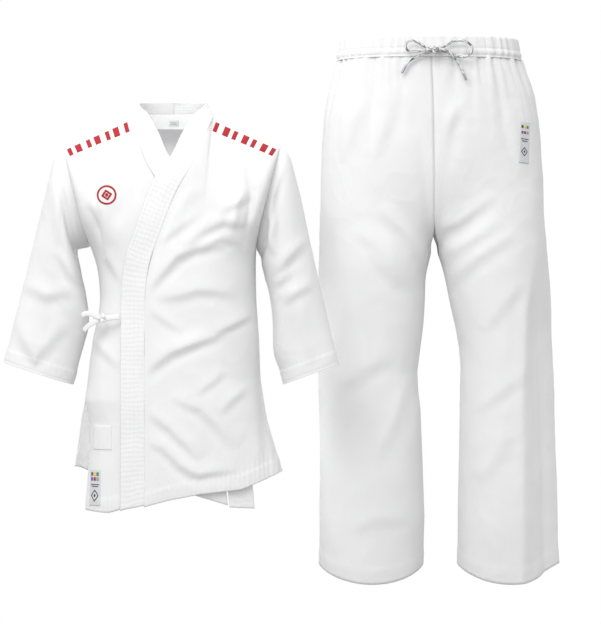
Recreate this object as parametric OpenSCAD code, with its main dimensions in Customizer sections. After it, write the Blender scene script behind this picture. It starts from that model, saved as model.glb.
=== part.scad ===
// Martial arts uniform: a crossover jacket with tie closing, and drawstring trousers beside it.
// Millimetres. +Z is up, the wearer faces -Y, so the wearer's left is +X.
// Origin: the centre of the neck opening at the base of the collar.

/* [Jacket body] */
// Half width of the jacket at the armpits
chest_half = 157; // [130:1:190]
// Half depth of the jacket from front to back
chest_deep = 118; // [90:1:150]
// Half width at the waist
waist_half = 148; // [125:1:180]
// Drop from the collar base to the armpits
armpit_drop = 250; // [210:1:300]
// Half width across the shoulder points
shoulder_half = 205; // [180:1:230]
// Drop from the collar base to the shoulder points
shoulder_drop = 60; // [40:1:80]
// Half depth of each armhole
armhole_deep = 65; // [50:1:85]
// Half width of the neck opening
neck_half = 78; // [65:1:95]
// Half depth of the neck opening
neck_deep = 62; // [50:1:75]
// Drop from the collar base to the lowest hem corner
jacket_drop = 747; // [680:1:820]
// Drop from the collar base to the top of the side vents
vent_drop = 545; // [500:1:600]
// Thickness of the jacket cloth
jacket_cloth = 2.4; // [1.5:0.1:4]
// Space between the two crossed fronts
front_space = 8; // [6:0.5:12]

/* [Collar and lapels] */
// Height of the collar at the back of the neck
collar_tall = 30; // [25:1:50]
// Thickness of the stitched collar and lapel band
band_thick = 4.4; // [3:0.1:6]
// How far the band stands proud of the cloth
band_proud = 1; // [0:0.1:2]

/* [Sleeves] */
// Half depth of the sleeve opening
cuff_deep = 45; // [35:1:65]
// Width of the turned hems of the jacket
hem_tall = 28; // [18:1:40]

/* [Trousers] */
// Distance of the trousers' mid plane behind the jacket's mid plane
trousers_back = 180; // [150:1:220]
// Centre of the waist to the side of the jacket
waist_x = 496; // [480:1:520]
// Height of the waistband's top edge
waist_top = 161; // [140:1:180]
// Height of the waistband's lower seam
waist_low = 120; // [100:1:135]
// Half width of the gathered waist
waist_wide = 178; // [150:1:200]
// Half depth of the waist
waist_deep = 106; // [90:1:125]
// Height of the hip points where the leg seams start
hip_z = -100; // [-120:1:-80]
// Height of the crotch
crotch_z = -250; // [-270:1:-230]
// Height of the leg hems at their sides
leg_hem_z = -868; // [-900:1:-830]
// Thickness of the trouser cloth
trouser_cloth = 1.8; // [1.2:0.1:3]
// Number of gathers round the waistband
gathers = 30; // [20:1:40]

/* [Cords and ties] */
// Diameter of the drawstring
string_d = 5; // [4:0.5:7]
// Width of the sewn ties
tie_wide = 10; // [8:0.5:14]
// Thickness of the sewn ties
tie_thick = 2.4; // [1.5:0.1:4]

/* [Hidden] */

// Roundness of the body's plan shape and of the shoulders
plan_round = 2.35;
top_round = 2.2;
// Small clearances: between pieces of one body, and between moving bodies
seam_gap = 0.6;
move_gap = 3;
// The free flap of the outer front ends left of its turning line, the fixed part starts right of it
turn_x = 55;
flap_end = turn_x - 2;
chest_start = turn_x + 3;
flap_top = -100;

// Half widths of the jacket's sides by height: outer front, under front and back
upper_left = [
    [-540, 173], [-500, 167], [-420, 164], [-351, waist_half + 11], [-armpit_drop, chest_half]
];
upper_right = [
    [-540, 166], [-500, 160], [-466, 156], [-420, 150], [-385, 141],
    [-351, waist_half - 11], [-285, 141], [-265, 148], [-armpit_drop, chest_half]
];
left_side = concat([[-790, 240], [-671, 207], [-580, 180]], upper_left);
right_side = concat([[-790, 168], [-jacket_drop, 165], [-640, 157], [-580, 158]], upper_right);
back_left = concat([[-790, 196], [-671, 186], [-580, 176]], upper_left);
back_right = concat([[-790, 196], [-671, 186], [-580, 174]], upper_right);
front_sides = [right_side, left_side];
back_sides = [back_right, back_left];

// Hem heights across each piece, by distance from the mid line
outer_hem = [[-118, -749], [-93, -744], [-46, -733], [53, -713], [129, -705], [211, -675]];
under_hem = [[-165, -747], [-118, -749], [-51, -729], [34, -714], [91, -737], [158, -741]];
back_hem_line = [[-186, -667], [-163, -680], [0, -700], [163, -680], [186, -667]];

// Lapel lines as pairs of free edge and sewn edge points, each [x, z]
outer_lapel = [
    [[0, -83], [41, -105]], [[-24, -118], [18, -140]], [[-46, -169], [-2, -186]],
    [[-65, -222], [-21, -238]], [[-80, -262], [-35, -275]], [[-90, -312], [-43, -318]],
    [[-93, -370], [-46, -371]], [[-93, -500], [-46, -500]], [[-93, -620], [-46, -620]],
    [[-93, -744], [-46, -733]]
];
under_lapel = [
    [[0, -83], [-41, -105]], [[24, -118], [-18, -140]], [[46, -169], [2, -186]],
    [[65, -222], [21, -238]], [[82, -262], [37, -276]], [[98, -312], [52, -325]],
    [[111, -370], [65, -380]], [[131, -500], [84, -507]], [[147, -620], [100, -624]],
    [[158, -741], [111, -738]]
];
// The collar from the back of the neck to the foot of the opening: free edge and sewn edge, [x, y, z]
collar_line = [
    [[0, 54, collar_tall], [0, neck_deep, 0]],
    [[22, 52, collar_tall], [28, 58, 0]],
    [[44, 42, collar_tall - 1], [54, 45, 0]],
    [[60, 24, collar_tall - 3], [72, 24, 0]],
    [[65, 4, collar_tall - 6], [78, 0, 0]],
    [[62, -14, 19], [79, -20, -3]],
    [[56, -33, 11], [78, -42, -9]],
    [[44, -54, 0], [74, -64, -20]],
    [[22, -86, -38], [60, -91, -56]],
    [[4, -103, -78], [43, -106, -99]]
];

// Sleeve lines from armhole to cuff: outer point and inner point [x, z], then half depth
left_sleeve_line = [
    [[205, -60], [157, -250], 65], [[222, -80], [165, -270], 66], [[241, -150], [176, -308], 64],
    [[255, -215], [186, -352], 59], [[274, -300], [190, -397], 53], [[295, -390], [193, -450], 48],
    [[308, -444], [205, -484], 46], [[315, -472], [211, -511], cuff_deep]
];
right_sleeve_line = [
    [[205, -60], [157, -250], 65], [[222, -80], [181, -262], 66], [[241, -150], [174, -304], 64],
    [[256, -215], [164, -350], 59], [[276, -300], [161, -397], 53], [[299, -390], [170, -440], 48],
    [[312, -442], [182, -484], 46], [[319, -469], [190, -511], cuff_deep]
];

// Leg lines from hip to hem: outer point and inner point [x, z], half depth, then dip of the front
left_leg_line = [
    [[720, hip_z], [512, crotch_z], 110, 0], [[726, -190], [520, -272], 106, 0],
    [[733, -280], [530, -320], 100, 0], [[738, -400], [549, -410], 94, 0],
    [[741, -500], [558, -490], 90, 0], [[745, -620], [556, -620], 87, 4],
    [[748, -760], [553, -760], 84, 18], [[750, -838], [552, -838], 82, 34],
    [[751, leg_hem_z], [552, leg_hem_z], 82, 40]
];
right_leg_line = [
    [[284, hip_z], [500, crotch_z], 110, 0], [[280, -190], [497, -268], 106, 0],
    [[279, -280], [489, -310], 100, 0], [[278, -400], [482, -410], 94, 0],
    [[278, -500], [473, -500], 90, 0], [[281, -620], [481, -620], 87, 4],
    [[280, -760], [486, -760], 84, 18], [[280, -838], [484, -838], 82, 34],
    [[280, leg_hem_z], [483, leg_hem_z], 82, 40]
];
crotch_x = 506;
gusset_half = 14;
hip_level = -60;
hip_halves = [
    [-110, 219], [-43, 215.5], [4, 210.6], [27, 206.6], [51, 201.7],
    [75, 194], [98, 187], [waist_low, waist_wide + 1], [waist_top, waist_wide - 6]
];
hip_mids = [[-110, 502], [4, 500], [51, 499], [waist_low, waist_x]];
hip_depths = [[-110, 112], [4, 111], [waist_low, waist_deep], [waist_top, waist_deep - 2]];

// Routes of the cords, through the middle of each cord
string_z = 131;
bow_y = trousers_back - waist_deep - 14;
left_string_route = [
    [487, bow_y + 6, string_z + 2], [478, bow_y + 3, 139], [466, bow_y, 146], [453, bow_y, 148],
    [445, bow_y, 140], [449, bow_y, 130], [461, bow_y - 2, 127], [478, bow_y - 5, 129],
    [498, bow_y - 8, 131], [514, bow_y - 6, 131], [529, bow_y - 3, 126], [542, bow_y, 111],
    [551, bow_y + 1, 97], [557, bow_y + 2, 84]
];
right_string_route = [
    [513, bow_y + 7, string_z + 2], [526, bow_y + 4, 141], [541, bow_y + 2, 148], [559, bow_y + 1, 147],
    [572, bow_y + 1, 138], [571, bow_y + 2, 124], [557, bow_y + 4, 117], [538, bow_y + 5, 121],
    [518, bow_y + 1, 127], [498, bow_y - 1, 131], [480, bow_y + 5, 122], [463, bow_y + 5, 116],
    [451, bow_y + 5, 108], [444, bow_y + 6, 97]
];
side_tie_route = [
    [-142, -34, -391], [-146, -49, -390], [-146, -65, -388], [-140, -80, -387], [-130, -91, -386]
];
outer_tie_route = [[-95, -104.5, -383], [-103, -105, -384], [-112, -104, -385], [-119, -101, -386]];
knot_at = [-128, -94, -386];
tie_end_route = [[-134, -99, -383], [-146, -98, -378], [-156, -95, -377], [-164, -92, -380]];
tie_low_route = [[-134, -97, -389], [-144, -97, -394], [-153, -93, -400], [-161, -88, -408]];
inner_front_route = [
    [108, -76, -392], [118, -67, -400], [122, -62, -425], [121, -60, -455], [120, -60, -485]
];
inner_side_route = [
    [142, -8, -388], [135, -12, -400], [132, -15, -430], [132, -16, -460], [131, -16, -490]
];

cloth_white = [0.95, 0.95, 0.95];
band_white = [0.97, 0.97, 0.96];
hem_white = [0.92, 0.92, 0.92];
mark_red = [0.75, 0.12, 0.14];
label_grey = [0.45, 0.46, 0.48];
metal_grey = [0.7, 0.7, 0.72];
elastic_grey = [0.82, 0.82, 0.8];

// ---- Shared geometry ----
function mix(a, b, t) = a + (b - a) * t;
function dome(t, n) = pow(max(0, 1 - pow(min(1, abs(t)), n)), 1 / n);
function signed_pow(v, e) = sign(v) * pow(abs(v), e);
function unit(v) = v / max(norm(v), 0.000001);
function steps(n) = [for (i = [0 : n]) i / n];

// Plan parameter from -1 to 1 whose steps are even round the rounded sides
function spread(a, b, n) = [for (t = steps(n)) sin(mix(asin(a), asin(b), t))];

function shoulder_z(x) =
    abs(x) <= neck_half ? 0 : -shoulder_drop * (abs(x) - neck_half) / (shoulder_half - neck_half);
function neck_y(x) = abs(x) >= neck_half ? 0 : neck_deep * sqrt(1 - pow(x / neck_half, 2));

// Upper body: u runs across, s runs from the armpits to the shoulder line, d is the depth below the skin
function chest_pt(u, s, d) =
    let (
        top_x = u * shoulder_half,
        low_y = (chest_deep - d) * dome(u, plan_round),
        top_y = max(neck_y(top_x) - d, 0),
        open_y = (armhole_deep - d) * dome(2 * s - 1, 2) * pow(abs(u), 4)
    )
    [
        u * (mix(chest_half, shoulder_half, s) - d),
        top_y + (low_y - top_y) * dome(s, top_round) + open_y,
        mix(-armpit_drop, shoulder_z(top_x) - d, s)
    ];
function side_at(u, z, sides) = lookup(z, u < 0 ? sides[0] : sides[1]);
function body_pt(u, z, d, sides) =
    [u * (side_at(u, z, sides) - d), (chest_deep - d) * dome(u, plan_round), z];

// The front skin over a place [x, z]: the chest part is found by closing in on its parameters
function chest_s(u, z) = (z + armpit_drop) / (shoulder_z(u * shoulder_half) + armpit_drop);
function chest_u(x, s) = max(-1, min(1, x / mix(chest_half, shoulder_half, s)));
function settle(x, z, u, n) =
    let (s = max(0, min(1, chest_s(u, z))))
    n == 0 ? [u, s] : settle(x, z, chest_u(x, s), n - 1);
function front_at(x, z, d) =
    z > -armpit_drop
        ? let (us = settle(x, z, 0, 5)) [x, -chest_pt(us[0], us[1], d)[1], z]
        : let (w = side_at(x, z, front_sides) - max(d, 0))
            [x, -(chest_deep - d) * dome(x / w, plan_round), z];

// The under front lies deeper where the outer front crosses it
function tuck(x, z) =
    front_space * max(0, min(1, (x + 132) / 60)) * max(0, min(1, (-20 - z) / 60));

// Closed solids from two matching grids of points: an open sheet, and a sheet closed into a tube
function grid_turned(outer, inner) =
    let (
        r = floor(len(outer) / 2) - (len(outer) > 2 ? 0 : 1),
        c = floor(len(outer[0]) / 2) - 1,
        a = outer[r][c],
        r2 = r + 1 < len(outer) ? r + 1 : r - 1,
        n = cross(outer[r][c + 1] - a, outer[r2][c] - a) * (r2 > r ? 1 : -1)
    )
    n * (a - inner[r][c]) > 0;
function quad(a, b, c, d, turned) =
    turned ? [[a, c, b], [a, d, c]] : [[a, b, c], [a, c, d]];

module sheet_solid(outer, inner) {
    rows = len(outer);
    cols = len(outer[0]);
    count = rows * cols;
    turned = grid_turned(outer, inner);
    skin = [
        for (r = [0 : rows - 2]) for (c = [0 : cols - 2])
            let (p = r * cols + c)
            each quad(p, p + 1, p + cols + 1, p + cols, turned)
    ];
    lining = [
        for (r = [0 : rows - 2]) for (c = [0 : cols - 2])
            let (p = count + r * cols + c)
            each quad(p, p + 1, p + cols + 1, p + cols, !turned)
    ];
    loop = concat(
        [for (c = [0 : cols - 1]) c],
        [for (r = [1 : rows - 1]) r * cols + cols - 1],
        [for (c = [1 : cols - 1]) rows * cols - 1 - c],
        [for (r = [1 : rows - 2]) (rows - 1 - r) * cols]
    );
    rim = [
        for (i = [0 : len(loop) - 1])
            let (a = loop[i], b = loop[(i + 1) % len(loop)])
            each quad(b, a, a + count, b + count, turned)
    ];
    polyhedron(
        concat([for (r = outer) each r], [for (r = inner) each r]),
        concat(skin, lining, rim), convexity = 8
    );
}

module tube_solid(outer, inner) {
    rows = len(outer);
    cols = len(outer[0]);
    count = rows * cols;
    turned = grid_turned(outer, inner);
    walls = [
        for (layer = [0, 1]) for (r = [0 : rows - 2]) for (c = [0 : cols - 1])
            let (p = layer * count + r * cols, c2 = (c + 1) % cols)
            each quad(p + c, p + c2, p + cols + c2, p + cols + c, layer == 0 ? turned : !turned)
    ];
    rims = [
        for (end = [0, 1]) for (c = [0 : cols - 1])
            let (p = end * (rows - 1) * cols, c2 = (c + 1) % cols)
            each quad(p + c2, p + c, p + c + count, p + c2 + count, end == 0 ? turned : !turned)
    ];
    polyhedron(
        concat([for (r = outer) each r], [for (r = inner) each r]),
        concat(walls, rims), convexity = 8
    );
}

// A cord or flat tie swept along a smooth route, its section wide across the side direction
function route_pt(route, i) = route[max(0, min(len(route) - 1, i))];
function smooth_pt(p0, p1, p2, p3, t) =
    0.5 * (2 * p1 + (p2 - p0) * t + (2 * p0 - 5 * p1 + 4 * p2 - p3) * t * t
        + (3 * p1 - p0 - 3 * p2 + p3) * t * t * t);
function smooth_route(route, cuts) = concat(
    [
        for (i = [0 : len(route) - 2]) for (k = [0 : cuts - 1])
            smooth_pt(
                route_pt(route, i - 1), route[i], route[i + 1], route_pt(route, i + 2), k / cuts
            )
    ],
    [route[len(route) - 1]]
);

module swept(route, wide, thick, face, sides, cuts = 2) {
    line = smooth_route(route, cuts);
    last = len(line) - 1;
    rings = [
        for (i = [0 : last])
            let (
                along = unit(line[min(i + 1, last)] - line[max(i - 1, 0)]),
                across = unit(cross(along, face)),
                up = cross(across, along)
            )
            for (k = [0 : sides - 1])
                line[i] + across * cos(360 * k / sides) * wide / 2 + up * sin(360 * k / sides) * thick / 2
    ];
    walls = [
        for (i = [0 : last - 1]) for (k = [0 : sides - 1])
            let (a = i * sides, k2 = (k + 1) % sides)
            each quad(a + k, a + k2, a + sides + k2, a + sides + k, false)
    ];
    foot = [for (k = [1 : sides - 2]) [0, k + 1, k]];
    head = [for (k = [1 : sides - 2]) [last * sides, last * sides + k, last * sides + k + 1]];
    polyhedron(rings, concat(walls, foot, head), convexity = 8);
}

// ---- Jacket ----
function row_z(r, hem) = r <= 1 ? -armpit_drop * r : mix(-armpit_drop, hem, r - 1);
function row_reach(r, z) = r <= 1 ? mix(chest_half, shoulder_half, 1 - r) : lookup(z, left_side);
function row_pt(u, r, hem, d, sides) =
    r <= 1 ? chest_pt(u, 1 - r, d) : body_pt(u, mix(-armpit_drop, hem, r - 1), d, sides);
function faced(p) = [p[0], -p[1], p[2]];
function sewn_edge(lapel) = [for (pair = lapel) [pair[1][1], pair[1][0]]];
outer_seam = concat(sewn_edge(outer_lapel), [[-99, 43.5], [-56, 60.5], [-20, 74], [0, 79]]);
under_seam = concat(sewn_edge(under_lapel), [[-99, -43.5], [-56, -60.5], [-20, -74], [0, -79]]);

chest_rows = [0, 0.1, 0.22, 0.38, 0.55, 0.75, 1];
low_rows = [1.2, 1.4, 1.6, 1.8, 2];

function back_grid(d) = [
    for (r = concat([0, 0.06], [for (r = chest_rows) if (r > 0) r], low_rows)) [
        for (u = spread(-1, 1, 20))
            row_pt(u, r, lookup(u * 186, back_hem_line) + hem_tall + seam_gap, d, back_sides)
    ]
];

module back_panel() {
    color(cloth_white) sheet_solid(back_grid(0), back_grid(jacket_cloth));
}

module back_hem() {
    outer = [
        for (t = [0, 1]) [
            for (u = spread(-1, 1, 20))
                body_pt(u, lookup(u * 186, back_hem_line) + hem_tall * (1 - t), -band_proud, back_sides)
        ]
    ];
    inner = [
        for (t = [0, 1]) [
            for (u = spread(-1, 1, 20))
                body_pt(u, lookup(u * 186, back_hem_line) + hem_tall * (1 - t), 3, back_sides)
        ]
    ];
    color(hem_white) sheet_solid(outer, inner);
}

// The under front runs from the wearer's right side to the under lapel
function under_grid(d) = [
    for (r = concat(chest_rows, low_rows))
        let (
            z = row_z(r, -715 + 28),
            edge = lookup(z, under_seam) - 1.5,
            u1 = edge / (edge < 0 && r > 1 ? lookup(z, right_side) : row_reach(r, z))
        )
        [
            for (u = spread(-1, max(-0.999, min(0.99, u1)), 12))
                let (
                    hem = lookup(u * 165, under_hem) + hem_tall + seam_gap,
                    flat = row_pt(u, r, hem, 0, front_sides)
                )
                faced(row_pt(u, r, hem, d + tuck(flat[0], flat[2]), front_sides))
        ]
];

module right_front_panel() {
    color(cloth_white) sheet_solid(under_grid(0), under_grid(jacket_cloth));
}

function hem_grid(from_x, to_x, line, d, tucked, cols) = [
    for (t = [1, 0]) [
        for (k = steps(cols))
            let (
                x = mix(from_x, to_x, k),
                z = lookup(x, line) + hem_tall * t
            )
            front_at(x, z, d + (tucked ? tuck(x, z) : 0))
    ]
];

module right_front_hem() {
    color(hem_white)
        sheet_solid(
            hem_grid(-156, 109.4, under_hem, -band_proud, true, 18),
            hem_grid(-156, 109.4, under_hem, 3, true, 18)
        );
}

// The outer front's fixed part, from the turning line round to the wearer's left side
function chest_grid(d) = [
    for (r = concat([0, 0.1, 0.22, 0.37, 0.41], [0.55, 0.75, 1], low_rows))
        let (
            z = row_z(r, -710 + 28),
            edge = r < 0.4 ? lookup(z, outer_seam) + 1.5 : chest_start
        )
        [
            for (u = spread(edge / row_reach(r, z), 1, 9))
                let (hem = lookup(u * 205, outer_hem) + hem_tall + seam_gap)
                faced(row_pt(u, r, hem, d, front_sides))
        ]
];

module left_chest_panel() {
    color(cloth_white) sheet_solid(chest_grid(0), chest_grid(jacket_cloth));
}

module left_side_hem() {
    color(hem_white)
        sheet_solid(
            hem_grid(chest_start, 204, outer_hem, -band_proud, false, 12),
            hem_grid(chest_start, 204, outer_hem, 3, false, 12)
        );
}

// The outer front's free flap, from the sewn lapel edge to the turning line
function flap_grid(d) = [
    for (t = steps(12))
        let (
            foot_z = -735 + hem_tall,
            z0 = mix(flap_top - 8, foot_z, t),
            edge = lookup(z0, outer_seam) + 1.5
        )
        [
            for (k = steps(4))
                let (
                    x = mix(edge, flap_end, k),
                    z = mix(flap_top - 8, lookup(x, outer_hem) + hem_tall + seam_gap, t)
                )
                front_at(x, z, d)
        ]
];

module left_front_flap() {
    color(cloth_white) sheet_solid(flap_grid(0), flap_grid(jacket_cloth));
}

module left_flap_hem() {
    color(hem_white)
        sheet_solid(
            hem_grid(-44.5, flap_end, outer_hem, -band_proud, false, 5),
            hem_grid(-44.5, flap_end, outer_hem, 3, false, 5)
        );
}

// Lapel bands follow the front skin between their free and sewn edges
function lapel_grid(lapel, d, tucked) = [
    for (pair = lapel) [
        for (t = [0, 0.5, 1])
            let (p = mix(pair[0], pair[1], t))
            front_at(p[0], p[1], d + (tucked ? front_space : 0))
    ]
];

module left_lapel_band() {
    color(band_white)
        sheet_solid(
            lapel_grid(outer_lapel, -band_proud, false),
            lapel_grid(outer_lapel, band_thick - band_proud, false)
        );
}

module right_lapel_band() {
    color(band_white)
        sheet_solid(
            lapel_grid(under_lapel, -band_proud, true),
            lapel_grid(under_lapel, band_thick - band_proud, true)
        );
}

// The standing collar, from the foot of one side round the neck to the other
function collar_pair(i, n) =
    let (pair = collar_line[abs(i)], side = i < 0 ? -1 : 1)
    let (deep = i < 0 ? front_space * max(0, -i - 4) / 5 : 0)
    [for (p = pair) [p[0] * side, p[1] + deep, p[2]]];
function collar_out(pair) =
    let (c = [(pair[0][0] + pair[1][0]) / 2, (pair[0][1] + pair[1][1]) / 2, 0])
    unit([c[0] * 0.6, c[1], norm(c) * 0.12]);
function collar_grid(d) = [
    for (i = [-9 : 9])
        let (pair = collar_pair(i, 9), out = collar_out(pair))
        [for (t = [0, 0.5, 1]) mix(pair[0], pair[1], t) - out * d]
];

module collar_band() {
    color(band_white) sheet_solid(collar_grid(0), collar_grid(band_thick));
}

// Sleeves and legs: rings between an outer line and an inner line
function ring(station, d, side, shift, mid_y, cols) =
    let (
        a = [station[0][0] * side, station[0][1]] + shift,
        b = [station[1][0] * side, station[1][1]] + shift,
        c = (a + b) / 2,
        arm = (a - b) / 2,
        arm_d = arm * (norm(arm) - d) / norm(arm),
        dip = len(station) > 3 ? station[3] : 0
    )
    [
        for (k = [0 : cols - 1])
            let (w = 360 * k / cols)
            [
                c[0] + arm_d[0] * cos(w),
                mid_y + (station[2] - d) * sin(w),
                c[1] + arm_d[1] * cos(w) - dip * pow(max(0, -sin(w)), 1.5)
            ]
    ];
function off_plane(station, side, gap) =
    let (v = unit([station[0][0] * side, station[0][1]] - [station[1][0] * side, station[1][1]]))
    [v[1], -v[0]] * gap;
function limb(line, from, to, d, side, mid_y, cols, start) = [
    for (i = [from : to])
        ring(line[i], d, side, i == 0 ? start : [0, 0], mid_y, cols)
];

module sleeve(line, side) {
    start = off_plane(line[0], side, side * move_gap);
    color(cloth_white)
        tube_solid(
            limb(line, 0, 6, 0, side, 0, 24, start), limb(line, 0, 6, jacket_cloth, side, 0, 24, start)
        );
}

module cuff_hem(line, side) {
    gap = unit(concat(line[7][0] - line[6][0], 0)) * seam_gap;
    head = [line[6][0] + [gap[0], gap[1]], line[6][1] + [gap[0], gap[1]], line[6][2]];
    ends = [head, line[7]];
    color(hem_white)
        tube_solid(
            limb(ends, 0, 1, -band_proud, side, 0, 24, [0, 0]), limb(ends, 0, 1, 3, side, 0, 24, [0, 0])
        );
}

module left_sleeve() {
    sleeve(left_sleeve_line, 1);
}

module right_sleeve() {
    sleeve(right_sleeve_line, -1);
}

module left_cuff_hem() {
    cuff_hem(left_sleeve_line, 1);
}

module right_cuff_hem() {
    cuff_hem(right_sleeve_line, -1);
}

// Patches and labels follow the front skin
function patch_grid(x0, x1, z0, z1, cols, rows, d) = [
    for (b = steps(rows)) [
        for (a = steps(cols))
            let (x = mix(x0, x1, a), z = mix(z0, z1, b))
            front_at(x, z, d + tuck(x, z))
    ]
];

module front_patch(x0, x1, z0, z1, cols, rows, low, high) {
    sheet_solid(
        patch_grid(x0, x1, z0, z1, cols, rows, low), patch_grid(x0, x1, z0, z1, cols, rows, high)
    );
}

module right_vent_patch() {
    color(band_white) front_patch(-150, -115, -632, -580, 5, 3, -2.8, -1.6);
}

module left_vent_patch() {
    cuts = [for (k = steps(4)) sin(mix(62, 84, k))];
    heights = [-vent_drop + 46, -vent_drop + 24, -vent_drop + 3];
    outer = [for (z = heights) [for (u = cuts) body_pt(u, z, -2.2, back_sides)]];
    inner = [for (z = heights) [for (u = cuts) body_pt(u, z, -0.9, back_sides)]];
    color(band_white) sheet_solid(outer, inner);
}

module hem_label() {
    color(label_grey) front_patch(-152, -114, -742, -666, 5, 4, -3.2, -2.1);
}

// Embroidered emblem: a ring round a lozenge, both standing on the chest
module chest_emblem() {
    middle = front_at(-118, -156, 0);
    color(mark_red)
        translate([middle[0], middle[1] - 3.2, middle[2]])
            rotate([90, 0, -34]) {
                difference() {
                    cylinder(h = 1.2, d = 36, $fn = 36);
                    translate([0, 0, -1]) cylinder(h = 4, d = 29, $fn = 36);
                }
                rotate(45) translate([-8, -8, 0]) cube([16, 16, 1.2]);
            }
}

// A row of slanted embroidered bars along each shoulder
module shoulder_marks(side) {
    for (k = [0 : 6]) {
        base = mix(0.44, 0.9, k / 6.6);
        wide = 0.045;
        outer = [
            for (t = [0, 1]) [
                for (a = [0, 1])
                    faced(chest_pt(side * (base + a * wide + t * 0.015), mix(0.885, 0.945, t), -2.2))
            ]
        ];
        inner = [
            for (t = [0, 1]) [
                for (a = [0, 1])
                    faced(chest_pt(side * (base + a * wide + t * 0.015), mix(0.885, 0.945, t), -1.1))
            ]
        ];
        sheet_solid(outer, inner);
    }
}

module left_shoulder_marks() {
    color(mark_red) shoulder_marks(1);
}

module right_shoulder_marks() {
    color(mark_red) shoulder_marks(-1);
}

module outer_tie() {
    color(band_white) swept(outer_tie_route, tie_wide, tie_thick, [0, -1, 0.05], 8);
}

module side_tie() {
    color(band_white) swept(side_tie_route, tie_thick, tie_wide, [0, 0, 1], 8);
}

// The knot where the two ties meet, with the end of the outer tie coming out of it
module tie_knot() {
    color(band_white) {
        translate(knot_at) scale([1, 0.8, 1]) sphere(d = 15, $fn = 12);
        swept(tie_end_route, tie_thick, tie_wide, [0, 0, 1], 8);
        swept(tie_low_route, tie_thick, tie_wide, [0, 0, 1], 8);
    }
}

module side_tie_patch() {
    cuts = [for (k = steps(3)) -sin(mix(70, 82, k))];
    heights = [-404, -378];
    outer = [for (z = heights) [for (u = cuts) faced(body_pt(u, z, -3.4, front_sides))]];
    inner = [for (z = heights) [for (u = cuts) faced(body_pt(u, z, -1.9, front_sides))]];
    color(band_white) sheet_solid(outer, inner);
}

module inner_front_tie() {
    color(band_white) swept(inner_front_route, tie_wide, tie_thick, [0.3, -1, 0], 8);
}

module inner_side_tie() {
    color(band_white) swept(inner_side_route, tie_wide, tie_thick, [-1, -0.2, 0], 8);
}

module neck_label() {
    color(label_grey) translate([-13, 52.4, -15.5]) cube([26, 0.9, 12]);
}

// Tape that covers the neck seam inside the back
module neck_tape() {
    outer = [
        for (z = [-2, 11]) [
            for (a = [-52 : 13 : 52]) [(neck_half - 9.4) * sin(a), (neck_deep - 9.4) * cos(a) + 1, z]
        ]
    ];
    inner = [
        for (z = [-2, 11]) [
            for (a = [-52 : 13 : 52]) [(neck_half - 10.4) * sin(a), (neck_deep - 10.4) * cos(a) + 1, z]
        ]
    ];
    color(band_white) sheet_solid(outer, inner);
}

// ---- Trousers ----
function waist_ring(z, d, cols) = [
    for (k = [0 : cols - 1])
        let (
            w = 360 * k / cols,
            half = lookup(z, hip_halves) - d,
            deep = lookup(z, hip_depths) - d
        )
        [
            waist_x + half * signed_pow(cos(w), 2 / plan_round),
            trousers_back + deep * signed_pow(sin(w), 2 / plan_round),
            z
        ]
];
function gather_ring(z, d, cols) = [
    for (k = [0 : cols - 1])
        let (
            w = 360 * k / cols,
            rise = 1.6 * (k % 4 == 0 ? 1 : (k % 4 == 2 ? -0.6 : 0)),
            half = lookup(z, hip_halves) - d + rise,
            deep = lookup(z, hip_depths) - d + rise
        )
        [
            waist_x + half * signed_pow(cos(w), 2 / plan_round),
            trousers_back + deep * signed_pow(sin(w), 2 / plan_round),
            z
        ]
];

module waist_casing() {
    cols = gathers * 4;
    heights = [waist_low + seam_gap, mix(waist_low, waist_top, 0.5), waist_top];
    color(cloth_white)
        tube_solid(
            [for (z = heights) gather_ring(z, -2.6, cols)],
            [for (z = heights) waist_ring(z, 0.4, cols)]
        );
}

module waist_elastic() {
    color(elastic_grey)
        tube_solid(
            [for (z = [137, 157]) waist_ring(z, 1.4, 48)], [for (z = [137, 157]) waist_ring(z, 3.4, 48)]
        );
}

module waist_facing() {
    color(cloth_white)
        tube_solid(
            [for (z = [waist_low, 159]) waist_ring(z, 7.4, 48)],
            [for (z = [waist_low, 159]) waist_ring(z, 8.6, 48)]
        );
}

// The drawstring's hidden run through the casing, from one eyelet round the back to the other
module drawstring_run() {
    run = [
        for (w = [-82 : 8 : 262])
            let (p = [
                waist_x + (waist_wide - 4) * signed_pow(cos(w), 2 / plan_round),
                trousers_back + (waist_deep - 4) * signed_pow(sin(w), 2 / plan_round),
                128
            ])
            p
    ];
    color(band_white) swept(run, 4, 4, [0, 0, 1], 8, 1);
}

function hip_edge(u, d) =
    let (
        turn = (1 - abs(u)) * 180,
        share = (1 - cos(turn)) / 2,
        hip_x = (u < 0 ? right_leg_line[0][0][0] + d : left_leg_line[0][0][0] - d)
    )
    [
        mix(hip_x, crotch_x, share),
        (110 - d) * sin(turn) + gusset_half * pow(share, 3),
        mix(hip_z, crotch_z + d, share)
    ];
function hip_pt(u, w, d) =
    w <= 1
        ? let (z = mix(waist_low, hip_level, w))
            [
                lookup(z, hip_mids) + u * (lookup(z, hip_halves) - d),
                (lookup(z, hip_depths) - d) * dome(u, plan_round),
                z
            ]
        : let (
            top = hip_pt(u, 1, d),
            low = hip_edge(u, d)
        )
            [
                mix(top[0], low[0], w - 1),
                low[1] + (top[1] - low[1]) * dome(w - 1, top_round),
                mix(hip_level, low[2], w - 1)
            ];
function hip_grid(d, face) = [
    for (w = [0, 0.2, 0.45, 0.7, 1, 1.25, 1.5, 1.75, 1.9, 2]) [
        for (u = spread(-1, 1, 20))
            let (p = hip_pt(u, w, d))
            [p[0], trousers_back + face * p[1], p[2]]
    ]
];

module hip_front() {
    color(cloth_white) sheet_solid(hip_grid(0, -1), hip_grid(trouser_cloth, -1));
}

module hip_back() {
    color(cloth_white) sheet_solid(hip_grid(0, 1), hip_grid(trouser_cloth, 1));
}

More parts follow.
